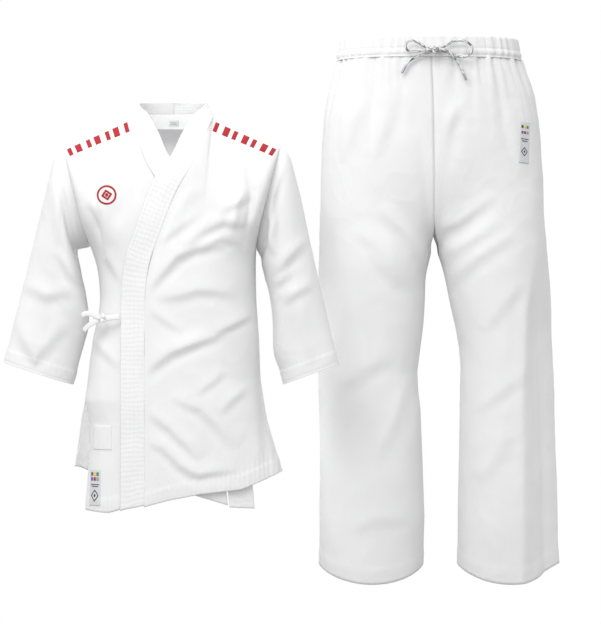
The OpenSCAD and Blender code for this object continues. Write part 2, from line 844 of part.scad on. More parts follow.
module crotch_gusset() {
    color(cloth_white)
        translate([crotch_x - 4, trousers_back - gusset_half + seam_gap, crotch_z])
            cube([8, 2 * (gusset_half - seam_gap), trouser_cloth]);
}

module leg(line, side) {
    start = off_plane(line[0], 1, side * move_gap);
    color(cloth_white)
        tube_solid(
            limb(line, 0, 7, 0, 1, trousers_back, 28, start),
            limb(line, 0, 7, trouser_cloth, 1, trousers_back, 28, start)
        );
}

module leg_hem(line) {
    head = [line[7][0] - [0, seam_gap], line[7][1] - [0, seam_gap], line[7][2], line[7][3]];
    ends = [head, line[8]];
    color(hem_white)
        tube_solid(
            limb(ends, 0, 1, -0.8, 1, trousers_back, 28, [0, 0]),
            limb(ends, 0, 1, 2.6, 1, trousers_back, 28, [0, 0])
        );
}

module left_leg() {
    leg(left_leg_line, 1);
}

module right_leg() {
    leg(right_leg_line, -1);
}

module left_leg_hem() {
    leg_hem(left_leg_line);
}

module right_leg_hem() {
    leg_hem(right_leg_line);
}

module drawstring_left() {
    color(band_white) swept(left_string_route, string_d, string_d, [0.05, 1, 0.03], 8);
}

module drawstring_right() {
    color(band_white) swept(right_string_route, string_d, string_d, [0.05, 1, 0.03], 8);
}

module drawstring_knot() {
    color(band_white)
        translate([500, bow_y - 4.5, 130])
            scale([0.85, 1, 1])
                sphere(d = 17, $fn = 16);
}

module eyelet(x) {
    color(metal_grey)
        translate([x, trousers_back - waist_deep - 4.2, string_z])
            rotate([90, 0, 0])
                rotate_extrude($fn = 32)
                    translate([5, 0])
                        circle(d = 2.4, $fn = 16);
}

module left_eyelet() {
    eyelet(512);
}

module right_eyelet() {
    eyelet(488);
}

module aglet(route) {
    last = len(route) - 1;
    along = unit(route[last] - route[last - 1]);
    color(metal_grey)
        translate(route[last] + along * 0.4)
            rotate([0, acos(along[2]), atan2(along[1], along[0])])
                cylinder(h = 12, d = string_d - 0.4, $fn = 24);
}

module left_aglet() {
    aglet(left_string_route);
}

module right_aglet() {
    aglet(right_string_route);
}

module hip_label() {
    cuts = [0.8, 0.85, 0.9];
    heights = [0.7, 1, 1.25, 1.45];
    outer = [
        for (w = heights) [
            for (u = cuts)
                let (p = hip_pt(u, w, -1.4))
                [p[0], trousers_back - p[1], p[2]]
        ]
    ];
    inner = [
        for (w = heights) [
            for (u = cuts)
                let (p = hip_pt(u, w, -0.3))
                [p[0], trousers_back - p[1], p[2]]
        ]
    ];
    color(label_grey) sheet_solid(outer, inner);
}

// ---- Output ----
back_panel();
right_front_panel();
left_chest_panel();
left_front_flap();
collar_band();
left_lapel_band();
right_lapel_band();
left_sleeve();
right_sleeve();
left_cuff_hem();
right_cuff_hem();
left_flap_hem();
left_side_hem();
right_front_hem();
back_hem();
left_vent_patch();
right_vent_patch();
outer_tie();
side_tie();
tie_knot();
side_tie_patch();
inner_front_tie();
inner_side_tie();
neck_label();
neck_tape();
chest_emblem();
left_shoulder_marks();
right_shoulder_marks();
hem_label();
waist_casing();
waist_elastic();
waist_facing();
hip_front();
hip_back();
crotch_gusset();
left_leg();
right_leg();
left_leg_hem();
right_leg_hem();
drawstring_run();
drawstring_left();
drawstring_right();
drawstring_knot();
left_eyelet();
right_eyelet();
left_aglet();
right_aglet();
hip_label();
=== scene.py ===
import math

import bpy
import numpy as np
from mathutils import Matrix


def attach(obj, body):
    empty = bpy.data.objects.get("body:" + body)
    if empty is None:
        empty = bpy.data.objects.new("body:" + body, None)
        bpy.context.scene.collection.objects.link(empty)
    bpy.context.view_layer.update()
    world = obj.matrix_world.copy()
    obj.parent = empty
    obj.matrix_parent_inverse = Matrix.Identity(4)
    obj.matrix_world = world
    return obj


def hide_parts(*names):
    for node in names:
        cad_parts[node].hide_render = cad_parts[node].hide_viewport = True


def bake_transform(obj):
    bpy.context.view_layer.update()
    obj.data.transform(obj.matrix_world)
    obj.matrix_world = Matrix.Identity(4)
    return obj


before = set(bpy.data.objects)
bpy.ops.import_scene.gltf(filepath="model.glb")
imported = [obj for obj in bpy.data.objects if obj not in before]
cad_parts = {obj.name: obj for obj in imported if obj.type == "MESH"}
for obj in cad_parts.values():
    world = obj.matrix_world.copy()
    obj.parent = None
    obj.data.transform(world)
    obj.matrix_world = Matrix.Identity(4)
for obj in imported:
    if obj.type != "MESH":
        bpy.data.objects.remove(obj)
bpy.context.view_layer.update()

MM = 0.001

# ------------------------------------------------------------------ camera
# Focal length in mm, and the camera's place in metres, level with the middle of the two garments
LENS = 151.8
EYE = (0.243, -5.0, -0.374)
camera_data = bpy.data.cameras.new("camera")
camera_data.sensor_width = 36
camera_data.lens = LENS
camera_data.clip_end = 60
camera = bpy.data.objects.new("camera", camera_data)
bpy.context.scene.collection.objects.link(camera)
camera.location = EYE
camera.rotation_euler = (math.radians(90), 0, 0)
bpy.context.scene.camera = camera

# ------------------------------------------------------------------ small tools


def mix(a, b, t):
    return a + (b - a) * t


def clip01(t):
    return np.clip(t, 0.0, 1.0)


def smooth(t):
    t = clip01(t)
    return t * t * (3 - 2 * t)


def dome(t, n):
    return np.power(np.clip(1 - np.power(clip01(np.abs(t)), n), 0, None), 1 / n)


def signed_pow(v, e):
    return np.sign(v) * np.power(np.abs(v), e)


def table(z, rows):
    """A profile by height: rows of (z, value), highest first or last."""
    rows = sorted(rows)
    return np.interp(z, [r[0] for r in rows], [r[1] for r in rows])


def unit(v):
    return v / np.maximum(np.linalg.norm(v, axis=-1, keepdims=True), 1e-9)


def catmull(points, ts):
    """A smooth line through the points, at parameters ts from 0 to the last index."""
    p = np.asarray(points, float)
    i = np.clip(np.floor(ts).astype(int), 0, len(p) - 2)
    t = (ts - i)[:, None]
    a, b = p[np.clip(i - 1, 0, None)], p[i]
    c, d = p[i + 1], p[np.clip(i + 2, None, len(p) - 1)]
    return 0.5 * (
        2 * b + (c - a) * t + (2 * a - 5 * b + 4 * c - d) * t**2 + (3 * b - a - 3 * c + d) * t**3
    )


def lattice(seed):
    r = np.random.RandomState(seed)
    return r.uniform(-1, 1, (256, 2)), r.permutation(256)


def noise(x, y, seed=1):
    """Smooth gradient noise, about -0.7 to 0.7."""
    grad, perm = lattice(seed)
    xi, yi = np.floor(x).astype(int), np.floor(y).astype(int)
    xf, yf = x - xi, y - yi

    def corner(dx, dy):
        g = grad[perm[(perm[(xi + dx) % 256] + yi + dy) % 256]]
        return g[..., 0] * (xf - dx) + g[..., 1] * (yf - dy)

    u, v = xf * xf * xf * (xf * (xf * 6 - 15) + 10), yf * yf * yf * (yf * (yf * 6 - 15) + 10)
    return mix(mix(corner(0, 0), corner(1, 0), u), mix(corner(0, 1), corner(1, 1), u), v)


def crumple(x, z, seed):
    """Shallow irregular creases of canvas, in mm, for places in mm."""
    wide = noise(x / 95 + 3, z / 120, seed) * 4.0
    mid = noise(x / 42 + z / 160, z / 55 - x / 200, seed + 1)
    small = noise(x / 17, z / 21, seed + 2)
    crease = 1 - np.abs(noise(x / 60 + z / 140, z / 70 - x / 90, seed + 3)) * 4
    return wide + mid * 1.3 + small * 0.25 + np.clip(crease, 0, 1) ** 3 * 0.7


# Share of its end pieces by which a fold fades out past its stated line
FOLD_REACH = 0.3


def ridge(x, z, points, amp, up, down, trough=0.35):
    """A fold: a crest above the given line that falls steeply on its lower side, in mm."""
    best = np.full(np.shape(x), 1e9)
    side = np.zeros(np.shape(x))
    place = np.zeros(np.shape(x))
    pts = np.array(points, float)
    pts[0] += (pts[0] - pts[1]) * FOLD_REACH
    pts[-1] += (pts[-1] - pts[-2]) * FOLD_REACH
    lengths = np.hypot(*(pts[1:] - pts[:-1]).T)
    total = lengths.sum()
    run = 0.0
    main = pts[-1] - pts[0]
    main = np.array([-main[1], main[0]])
    main = main * (-1 if main[1] < 0 or (abs(main[1]) < 1e-6 and main[0] < 0) else 1)
    for (x0, z0), (x1, z1), length in zip(pts[:-1], pts[1:], lengths):
        dx, dz = (x1 - x0) / length, (z1 - z0) / length
        nx, nz = -dz, dx
        if nx * main[0] + nz * main[1] < 0:
            nx, nz = -nx, -nz
        t = np.clip((x - x0) * dx + (z - z0) * dz, 0, length)
        qx, qz = x - x0 - t * dx, z - z0 - t * dz
        dist = np.hypot(qx, qz)
        near = dist < best
        best = np.where(near, dist, best)
        side = np.where(near, qx * nx + qz * nz, side)
        place = np.where(near, (run + t) / total, place)
        run += length
    s = np.where(side >= 0, best, -best) - 0.8 * down
    taper = np.sin(np.pi * place) ** 0.8
    shape = np.where(s > 0, 1 / (1 + (s / up) ** 2) ** 1.5, np.exp(-((s / down) ** 2)))
    shape = shape - trough * np.exp(-(((s + 1.9 * down) / down) ** 2))
    return amp * taper * shape


# ------------------------------------------------------------------ meshes


def new_object(name, verts, faces, uvs=None, material=None, flat=False):
    mesh = bpy.data.meshes.new(name)
    verts = np.asarray(verts, float)
    quads = np.asarray(faces, int)
    n, k = quads.shape
    mesh.vertices.add(len(verts))
    mesh.vertices.foreach_set("co", verts.ravel())
    mesh.loops.add(n * k)
    mesh.loops.foreach_set("vertex_index", quads.ravel())
    mesh.polygons.add(n)
    mesh.polygons.foreach_set("loop_start", np.arange(0, n * k, k))
    mesh.polygons.foreach_set("use_smooth", np.full(n, not flat))
    if uvs is not None:
        layer = mesh.uv_layers.new(name="cloth")
        layer.data.foreach_set("uv", np.asarray(uvs, float)[quads.ravel()].ravel())
    mesh.update(calc_edges=True)
    mesh.validate()
    obj = bpy.data.objects.new(name, mesh)
    bpy.context.scene.collection.objects.link(obj)
    if material is not None:
        mesh.materials.append(material)
    return obj


def grid_normals(p, wrap=False):
    if wrap:
        du = np.roll(p, -1, 1) - np.roll(p, 1, 1)
    else:
        du = np.gradient(p, axis=1)
    return unit(np.cross(du, np.gradient(p, axis=0)))


class Cloth:
    """A cloth sheet on a grid of points in mm, with its outward normals."""

    def __init__(self, points, out, wrap=False):
        self.p = np.asarray(points, float)
        self.wrap = wrap
        self.sign = 1.0
        normals = grid_normals(self.p, wrap)
        if (normals * out).sum() < 0:
            self.sign = -1.0
        self.n = normals * self.sign

    def push(self, amount, refresh=True):
        self.p = self.p + self.n * np.asarray(amount)[..., None]
        if refresh:
            self.n = grid_normals(self.p, self.wrap) * self.sign
        return self

    def uv(self):
        p = self.p
        if self.wrap:
            p = np.concatenate([p, p[:, :1]], 1)
        across = np.concatenate(
            [np.zeros((p.shape[0], 1)), np.cumsum(np.linalg.norm(np.diff(p, axis=1), axis=2), 1)], 1
        )
        across -= across[:, across.shape[1] // 2][:, None]
        along = np.concatenate(
            [np.zeros((1, p.shape[1])), np.cumsum(np.linalg.norm(np.diff(p, axis=0), axis=2), 0)], 0
        )
        uv = np.stack([across, -along], 2)
        return uv[:, : self.p.shape[1]] * MM

    def build(self, name, thick, material):
        r, c = self.p.shape[:2]
        thick = np.broadcast_to(np.asarray(thick, float), (r, c))
        lining = self.p - self.n * thick[..., None]
        verts = np.concatenate([self.p.reshape(-1, 3), lining.reshape(-1, 3)]) * MM
        uv = self.uv().reshape(-1, 2)
        uvs = np.concatenate([uv, uv + 0.37])
        count = r * c
        i = np.arange(count).reshape(r, c)
        if self.wrap:
            i = np.concatenate([i, i[:, :1]], 1)
        a, b, d, e = i[:-1, :-1], i[:-1, 1:], i[1:, 1:], i[1:, :-1]
        quad = np.stack([a, b, d, e], -1).reshape(-1, 4)
        if self.sign < 0:
            quad = quad[:, ::-1]
        faces = [quad, quad[:, ::-1] + count]

        def rim(line, back):
            q = np.stack([line[:-1], line[:-1] + count, line[1:] + count, line[1:]], -1)
            return q[:, ::-1] if back != (self.sign < 0) else q

        faces.append(rim(i[0], False))
        faces.append(rim(i[-1], True))
        if not self.wrap:
            faces.append(rim(i[:, 0], True))
            faces.append(rim(i[:, -1], False))
        return new_object(name, verts, np.concatenate(faces), uvs, material)

    def column(self, c):
        """The line down the sheet at a fractional column."""
        k = int(np.clip(math.floor(c), 0, self.p.shape[1] - 2))
        f = c - k
        return mix(self.p[:, k], self.p[:, k + 1], f), unit(mix(self.n[:, k], self.n[:, k + 1], f))

    def row(self, r):
        """The line across the sheet at a fractional row."""
        k = int(np.clip(math.floor(r), 0, self.p.shape[0] - 2))
        f = r - k
        p, n = mix(self.p[k], self.p[k + 1], f), unit(mix(self.n[k], self.n[k + 1], f))
        if self.wrap:
            p, n = np.concatenate([p, p[:1]]), np.concatenate([n, n[:1]])
        return p, n


def stitches(name, lines, material, pitch=3.4, long=2.3, wide=0.55, proud=0.32):
    """Rows of thread along lines of (points, normals), each stitch its own small lozenge."""
    verts, faces, base = [], [], 0
    for points, normals in lines:
        step = np.linalg.norm(np.diff(points, axis=0), axis=1)
        run = np.concatenate([[0], np.cumsum(step)])
        at = np.arange(pitch, run[-1] - pitch * 0.5, pitch)
        if len(at) == 0:
            continue
        c = np.stack([np.interp(at, run, points[:, k]) for k in range(3)], 1)
        n = unit(np.stack([np.interp(at, run, normals[:, k]) for k in range(3)], 1))
        a = np.stack([np.interp(at + 0.5, run, points[:, k]) for k in range(3)], 1)
        t = unit(a - c + 1e-9)
        side = unit(np.cross(t, n))
        ring = np.stack(
            [
                c - t * long / 2 - n * 0.1,
                c - side * wide / 2,
                c + t * long / 2 - n * 0.1,
                c + side * wide / 2,
                c + n * proud,
                c - n * 0.3,
            ],
            1,
        )
        verts.append(ring.reshape(-1, 3))
        one = np.array(
            [[0, 1, 4], [1, 2, 4], [2, 3, 4], [3, 0, 4], [1, 0, 5], [2, 1, 5], [3, 2, 5], [0, 3, 5]]
        )
        faces.append((np.arange(len(at)) * 6)[:, None, None] + one[None] + base)
        base += len(at) * 6
    return new_object(
        name, np.concatenate(verts) * MM, np.concatenate([f.reshape(-1, 3) for f in faces]), None, material
    )


def tube(name, line, wide, thick, face, material, sides=12):
    """A cord or flat tape swept along a line of points in mm."""
    line = np.asarray(line, float)
    along = unit(np.gradient(line, axis=0))
    across = unit(np.cross(along, np.asarray(face, float)))
    up = np.cross(across, along)
    w = np.arange(sides) * 2 * math.pi / sides
    e = 1.0 if wide == thick else 0.6
    cw, sw = signed_pow(np.cos(w), e), signed_pow(np.sin(w), e)
    rings = (
        line[:, None]
        + across[:, None] * (cw * wide / 2)[None, :, None]
        + up[:, None] * (sw * thick / 2)[None, :, None]
    )
    n = len(line)
    caps = np.stack([line[0] - along[0] * 0.2 * thick, line[-1] + along[-1] * 0.2 * thick])
    verts = np.concatenate([rings.reshape(-1, 3), caps]) * MM
    i = np.arange(n * sides).reshape(n, sides)
    i = np.concatenate([i, i[:, :1]], 1)
    quads = np.stack([i[:-1, :-1], i[:-1, 1:], i[1:, 1:], i[1:, :-1]], -1).reshape(-1, 4)
    tris = [[i[0, k + 1], i[0, k], n * sides] for k in range(sides)]
    tris += [[i[-1, k], i[-1, k + 1], n * sides + 1] for k in range(sides)]
    tris = np.array([[a, b, c, c] for a, b, c in tris])
    run = np.concatenate([[0], np.cumsum(np.linalg.norm(np.diff(line, axis=0), axis=1))])
    uv = np.stack(np.broadcast_arrays(w[None] / (2 * math.pi) * (wide + thick) * 1.6, run[:, None]), -1)
    uvs = np.concatenate([uv.reshape(-1, 2), np.zeros((2, 2))]) * MM
    split = np.concatenate([quads[:, [0, 1, 2]], quads[:, [0, 2, 3]], tris[:, :3]])
    return new_object(name, verts, split, uvs, material)


# ------------------------------------------------------------------ materials


def nodes_of(material):
    tree = material.node_tree
    return tree, tree.nodes, tree.links


def cloth_material(name, color, weave=0.9, rough=0.85, weave_depth=0.10, mottled=0.02):
    """Woven cloth: threads over and under in both directions, with soft unevenness."""
    material = bpy.data.materials.new(name)
    material.use_nodes = True
    tree, nodes, links = nodes_of(material)
    shader = nodes["Principled BSDF"]
    shader.inputs["Roughness"].default_value = rough
    shader.inputs["Sheen Weight"].default_value = 0.1
    shader.inputs["Sheen Roughness"].default_value = 0.6
    shader.inputs["Specular IOR Level"].default_value = 0.2
    uv = nodes.new("ShaderNodeUVMap")
    uv.uv_map = "cloth"
    split = nodes.new("ShaderNodeSeparateXYZ")
    links.new(uv.outputs[0], split.inputs[0])
    waves = []
    for axis in range(2):
        scale = nodes.new("ShaderNodeMath")
        scale.operation = "MULTIPLY"
        scale.inputs[1].default_value = 2 * math.pi / (weave * MM)
        links.new(split.outputs[axis], scale.inputs[0])
        sine = nodes.new("ShaderNodeMath")
        sine.operation = "SINE"
        links.new(scale.outputs[0], sine.inputs[0])
        waves.append(sine)
    product = nodes.new("ShaderNodeMath")
    product.operation = "MULTIPLY"
    links.new(waves[0].outputs[0], product.inputs[0])
    links.new(waves[1].outputs[0], product.inputs[1])
    fuzz = nodes.new("ShaderNodeTexNoise")
    fuzz.inputs["Scale"].default_value = 700
    fuzz.inputs["Detail"].default_value = 3
    links.new(uv.outputs[0], fuzz.inputs["Vector"])
    height = nodes.new("ShaderNodeMath")
    height.operation = "ADD"
    links.new(product.outputs[0], height.inputs[0])
    links.new(fuzz.outputs[0], height.inputs[1])
    bump = nodes.new("ShaderNodeBump")
    bump.inputs["Strength"].default_value = 0.35
    bump.inputs["Distance"].default_value = weave_depth * MM
    links.new(height.outputs[0], bump.inputs["Height"])
    links.new(bump.outputs[0], shader.inputs["Normal"])
    tone = nodes.new("ShaderNodeTexNoise")
    tone.inputs["Scale"].default_value = 18
    tone.inputs["Detail"].default_value = 4
    links.new(uv.outputs[0], tone.inputs["Vector"])
    ramp = nodes.new("ShaderNodeMapRange")
    ramp.inputs["From Min"].default_value = 0.3
    ramp.inputs["From Max"].default_value = 0.7
    ramp.inputs["To Min"].default_value = 1 - mottled
    ramp.inputs["To Max"].default_value = 1.0
    links.new(tone.outputs[0], ramp.inputs["Value"])
    tint = nodes.new("ShaderNodeMix")
    tint.data_type = "RGBA"
    tint.blend_type = "MULTIPLY"
    tint.inputs["Factor"].default_value = 1.0
    tint.inputs["A"].default_value = (*color, 1)
    links.new(ramp.outputs[0], tint.inputs["B"])
    links.new(tint.outputs["Result"], shader.inputs["Base Color"])
    return material


def plain_material(name, color, rough=0.6, metallic=0.0, sheen=0.0, grain=0.0):
    material = bpy.data.materials.new(name)
    material.use_nodes = True
    tree, nodes, links = nodes_of(material)
    shader = nodes["Principled BSDF"]
    shader.inputs["Base Color"].default_value = (*color, 1)
    shader.inputs["Roughness"].default_value = rough
    shader.inputs["Metallic"].default_value = metallic
    shader.inputs["Sheen Weight"].default_value = sheen
    grit = nodes.new("ShaderNodeTexNoise")
    grit.inputs["Scale"].default_value = 900
    bump = nodes.new("ShaderNodeBump")
    bump.inputs["Strength"].default_value = grain
    bump.inputs["Distance"].default_value = 0.0002
    links.new(grit.outputs[0], bump.inputs["Height"])
    links.new(bump.outputs[0], shader.inputs["Normal"])
    return material


WHITE = (0.77, 0.77, 0.775)
canvas = cloth_material("canvas", WHITE)
band_canvas = cloth_material("band canvas", (0.78, 0.78, 0.785), weave=0.8)
trouser_canvas = cloth_material("trouser canvas", WHITE, weave=0.8)
tape_cloth = cloth_material("tape", (0.80, 0.80, 0.80), weave=0.7)
thread = plain_material("thread", (0.86, 0.86, 0.86), 0.6, sheen=0.2, grain=0.2)
red_thread = plain_material("red thread", (0.38, 0.004, 0.01), 0.7, sheen=0.0, grain=0.4)

# ------------------------------------------------------------------ jacket shape, as in the CAD (mm)
CHEST, DEEP, ARMPIT, SHOULDER, DROP = 157.0, 118.0, 250.0, 205.0, 60.0
ARMHOLE, NECK_X, NECK_Y = 65.0, 78.0, 62.0
PLAN, TOP = 2.35, 2.2
HEM = 28.0
SPACE = 8.0
UPPER_LEFT = [(-540, 173), (-500, 167), (-420, 164), (-351, 159), (-250, 157)]
UPPER_RIGHT = [
    (-540, 166), (-500, 160), (-466, 156), (-420, 150), (-385, 141), (-351, 137), (-285, 141),
    (-265, 148), (-250, 157),
]
LEFT_SIDE = [(-790, 240), (-671, 207), (-580, 180)] + UPPER_LEFT
RIGHT_SIDE = [(-790, 168), (-747, 165), (-640, 157), (-580, 158)] + UPPER_RIGHT
BACK_LEFT = [(-790, 196), (-671, 186), (-580, 176)] + UPPER_LEFT
BACK_RIGHT = [(-790, 196), (-671, 186), (-580, 174)] + UPPER_RIGHT
OUTER_HEM = [(-118, -749), (-93, -744), (-46, -733), (53, -713), (129, -705), (211, -675)]
UNDER_HEM = [(-165, -747), (-118, -749), (-51, -729), (34, -714), (91, -737), (158, -741)]
BACK_HEM = [(-186, -667), (-163, -680), (0, -700), (163, -680), (186, -667)]
OUTER_LAPEL = [
    ((-24, -118), (18, -140)), ((-46, -169), (-2, -186)), ((-65, -222), (-21, -238)),
    ((-80, -262), (-35, -275)), ((-90, -312), (-43, -318)), ((-93, -370), (-46, -371)),
    ((-93, -500), (-46, -500)), ((-93, -620), (-46, -620)), ((-93, -744), (-46, -733)),
]
UNDER_LAPEL = [
    ((24, -118), (-18, -140)), ((46, -169), (2, -186)), ((65, -222), (21, -238)),
    ((82, -262), (37, -276)), ((98, -312), (52, -325)), ((111, -370), (65, -380)),
    ((131, -500), (84, -507)), ((147, -620), (100, -624)), ((158, -741), (111, -738)),
]
COLLAR = [
    ((0, 54, 30), (0, 62, 0)), ((22, 52, 30), (28, 58, 0)), ((44, 42, 29), (54, 45, 0)),
    ((60, 24, 27), (72, 24, 0)), ((65, 4, 24), (78, 0, 0)), ((62, -14, 19), (79, -20, -3)),
    ((56, -33, 11), (78, -42, -9)), ((44, -54, 0), (74, -64, -20)), ((22, -86, -38), (60, -91, -56)),
    ((4, -103, -78), (43, -106, -99)),
]


def shoulder_z(x):
    return np.where(np.abs(x) <= NECK_X, 0.0, -DROP * (np.abs(x) - NECK_X) / (SHOULDER - NECK_X))


def neck_y(x):
    return NECK_Y * np.sqrt(np.clip(1 - (x / NECK_X) ** 2, 0, None))


def chest(u, s, d=0.0):
    top_x = u * SHOULDER
    low_y = (DEEP - d) * dome(u, PLAN)
    top_y = np.clip(neck_y(top_x) - d, 0, None)
    open_y = (ARMHOLE - d) * dome(2 * s - 1, 2) * np.abs(u) ** 4
    return np.stack(
        [
            u * (mix(CHEST, SHOULDER, s) - d),
            top_y + (low_y - top_y) * dome(s, TOP) + open_y,
            mix(-ARMPIT, shoulder_z(top_x) - d, s),
        ],
        -1,
    )


def trunk(u, r, hem, d, left, right):
    """The trunk's skin: r is 0 at the shoulders, 1 at the armpits and 2 at the hem."""
    u, r, hem, d = np.broadcast_arrays(u, r, hem, d)
    upper = chest(u, 1 - np.clip(r, 0, 1), d)
    z = mix(-ARMPIT, hem, np.clip(r - 1, 0, None))
    half = np.where(u < 0, table(z, right), table(z, left))
    lower = np.stack([u * (half - d), (DEEP - d) * dome(u, PLAN), z], -1)
    return np.where((r <= 1)[..., None], upper, lower)


def front_at(x, z, d=0.0):
    """Points on the front skin over places x, z."""
    x, z, d = (np.asarray(a, float) for a in np.broadcast_arrays(x, z, d))
    u = np.zeros(x.shape)
    for _ in range(6):
        s = clip01((z + ARMPIT) / (shoulder_z(u * SHOULDER) + ARMPIT))
        u = np.clip(x / mix(CHEST, SHOULDER, s), -1, 1)
    high = chest(u, s, d)[..., 1]
    half = np.where(x < 0, table(z, RIGHT_SIDE), table(z, LEFT_SIDE))
    low = (DEEP - d) * dome(np.clip(x / (half - np.clip(d, 0, None)), -1, 1), PLAN)
    return np.stack([x, -np.where(z > -ARMPIT, high, low), z], -1)


def tuck(x, z):
    return SPACE * clip01((x + 132) / 60) * clip01((-20 - z) / 60)


def faced(p):
    return p * np.array([1, -1, 1])


SEAM_TOP = [(-99, 43.5), (-56, 60.5), (-20, 74), (0, 79)]
OUTER_SEAM = [(s[1], s[0]) for f, s in OUTER_LAPEL] + SEAM_TOP
UNDER_SEAM = [(s[1], s[0]) for f, s in UNDER_LAPEL] + [(z, -x) for z, x in SEAM_TOP]


def row_list(n_top, n_low):
    """Rows from shoulder to hem, closer together where the shoulder curves most."""
    top = 1 - np.sin(np.linspace(math.pi / 2, 0, n_top))
    return np.concatenate([top, 1 + np.arange(1, n_low + 1) / n_low])


def eased(grid, field, middle=1.0, reach=0.16, rounds=80):
    """The sheet with its bend where the field is at the middle value made soft."""
    share = np.exp(-(((field - middle) / reach) ** 2))[1:-1, :, None]
    for _ in range(rounds):
        mean = (grid[:-2] + grid[2:]) / 2
        grid = grid.copy()
        grid[1:-1] = mix(grid[1:-1], mean, 0.5 * share)
    return grid


def hem_profile(distance, tall=HEM, extra=1.0):
    """Extra height of a turned hem, with the line of stitching pulled in."""
    step = smooth((tall + 1.5 - distance) / 3.0)
    groove = np.exp(-(((distance - tall + 1.5) / 1.6) ** 2)) + 0.6 * np.exp(-(((distance - 4) / 1.5) ** 2))
    return extra * step - 0.9 * groove


def pucker(run, distance, seed, amp=0.35, wave=9.0, reach=14.0):
    """Small ripples that a row of stitching pulls into the cloth."""
    phase = 2 * math.pi * run / wave + 3 * noise(run / 31, distance / 40, seed)
    return amp * np.sin(phase) * np.exp(-((distance / reach) ** 2))


FRONT_FOLDS = [
    ([(148, -160), (124, -172), (98, -186)], 3.3, 17, 7),
    ([(142, -214), (100, -206), (62, -226), (36, -248)], 4.2, 21, 8),
    ([(128, -250), (96, -238), (66, -250)], 2.4, 15, 7),
    ([(96, -252), (50, -258), (16, -276), (-14, -306), (-34, -330)], 5.6, 25, 9),
    ([(42, -204), (6, -228), (-16, -246)], 2.4, 19, 8),
    ([(110, -346), (50, -338), (-6, -350)], 3.7, 25, 10),
    ([(150, -384), (118, -400), (90, -412)], 4.2, 21, 7),
    ([(96, -418), (54, -434), (6, -454), (-38, -486)], 5.6, 25, 9),
    ([(-34, -378), (-2, -400), (18, -410)], 1.9, 15, 8),
    ([(14, -540), (58, -558), (84, -588), (112, -622)], 3.7, 25, 9),
    ([(138, -520), (118, -540), (98, -562)], 2.8, 17, 8),
    ([(-40, -570), (-2, -592), (28, -618), (50, -640)], 4.2, 23, 9),
    ([(-40, -624), (-14, -632), (18, -660), (52, -678), (110, -676)], 4.7, 23, 9),
    ([(100, -488), (80, -508), (60, -524)], 2.4, 17, 8),
    ([(60, -150), (30, -178), (8, -206)], 1.4, 19, 11),
]
UNDER_FOLDS = [([(-141, -244), (-105, -306)], 4, 14, 10), ([(-140, -440), (-108, -470)], 3, 14, 10)]


def folded(x, z, folds):
    total = np.zeros(np.shape(x))
    x, z = x + 9 * noise(x / 95, z / 80, 201), z + 9 * noise(x / 80, z / 95, 202)
    for points, amp, up, down in folds:
        total = total + ridge(x, z, points, amp, up, down)
    return total


def valley(x, z, points, amp, wide):
    """A soft crease of even sides along a line."""
    return ridge(x, z, points, -amp, wide, wide, 0.0)


def edge_fade(count, near, far):
    """Weights over a sheet's columns that go to 0 at its first and last ones."""
    c = np.arange(count)
    a = smooth(c / near) if near else np.ones(count)
    b = smooth((count - 1 - c) / far) if far else np.ones(count)
    return a * b


def plane_uv(cloth):
    return cloth.p[..., 0], cloth.p[..., 2]


# ------------------------------------------------------------------ jacket pieces
made = {}
BAND_GAP = 1.0


def make_back():
    r = row_list(56, 110)
    u = np.sin(np.linspace(-math.pi / 2, math.pi / 2, 150))
    rr, uu = np.meshgrid(r, u, indexing="ij")
    hem = table(uu * 186, BACK_HEM)
    flat = eased(trunk(uu, rr, hem, 0.0, BACK_LEFT, BACK_RIGHT), rr)
    cloth = Cloth(flat, np.array([0, 1.0, 0]))
    x, z = plane_uv(cloth)
    fade = edge_fade(150, 10, 10)[None, :] * smooth(rr / 0.12)
    lift = crumple(x, z, 11) * 0.9
    lift = lift + ridge(x, z, [(120, -230), (40, -262), (-20, -258)], 6, 22, 12)
    lift = lift + ridge(x, z, [(-125, -228), (-60, -270), (-10, -285)], 6, 22, 12)
    lift = lift + ridge(x, z, [(90, -400), (20, -430), (-60, -420)], 6, 26, 14)
    lift = lift + ridge(x, z, [(-100, -470), (-30, -500), (60, -490)], 5, 24, 14)
    for hollow_line in ([(60, -560), (66, -700)], [(-50, -570), (-62, -700)]):
        lift = lift + valley(x, z, hollow_line, 6, 26)
    lift = lift - 1.2 * np.exp(-((x / 2.2) ** 2)) * smooth((rr - 0.02) / 0.1)
    below = flat[..., 2] - hem
    cloth.below = below
    cloth.push(lift * fade)
    cloth.push(hem_profile(below) + pucker(x, np.abs(below - HEM), 5) + pucker(x, below, 6))
    thick = 1.9 + 1.4 * smooth((HEM + 1 - below) / 3)
    piece = cloth.build("back_cloth", thick, canvas)
    made["back"] = cloth
    return piece


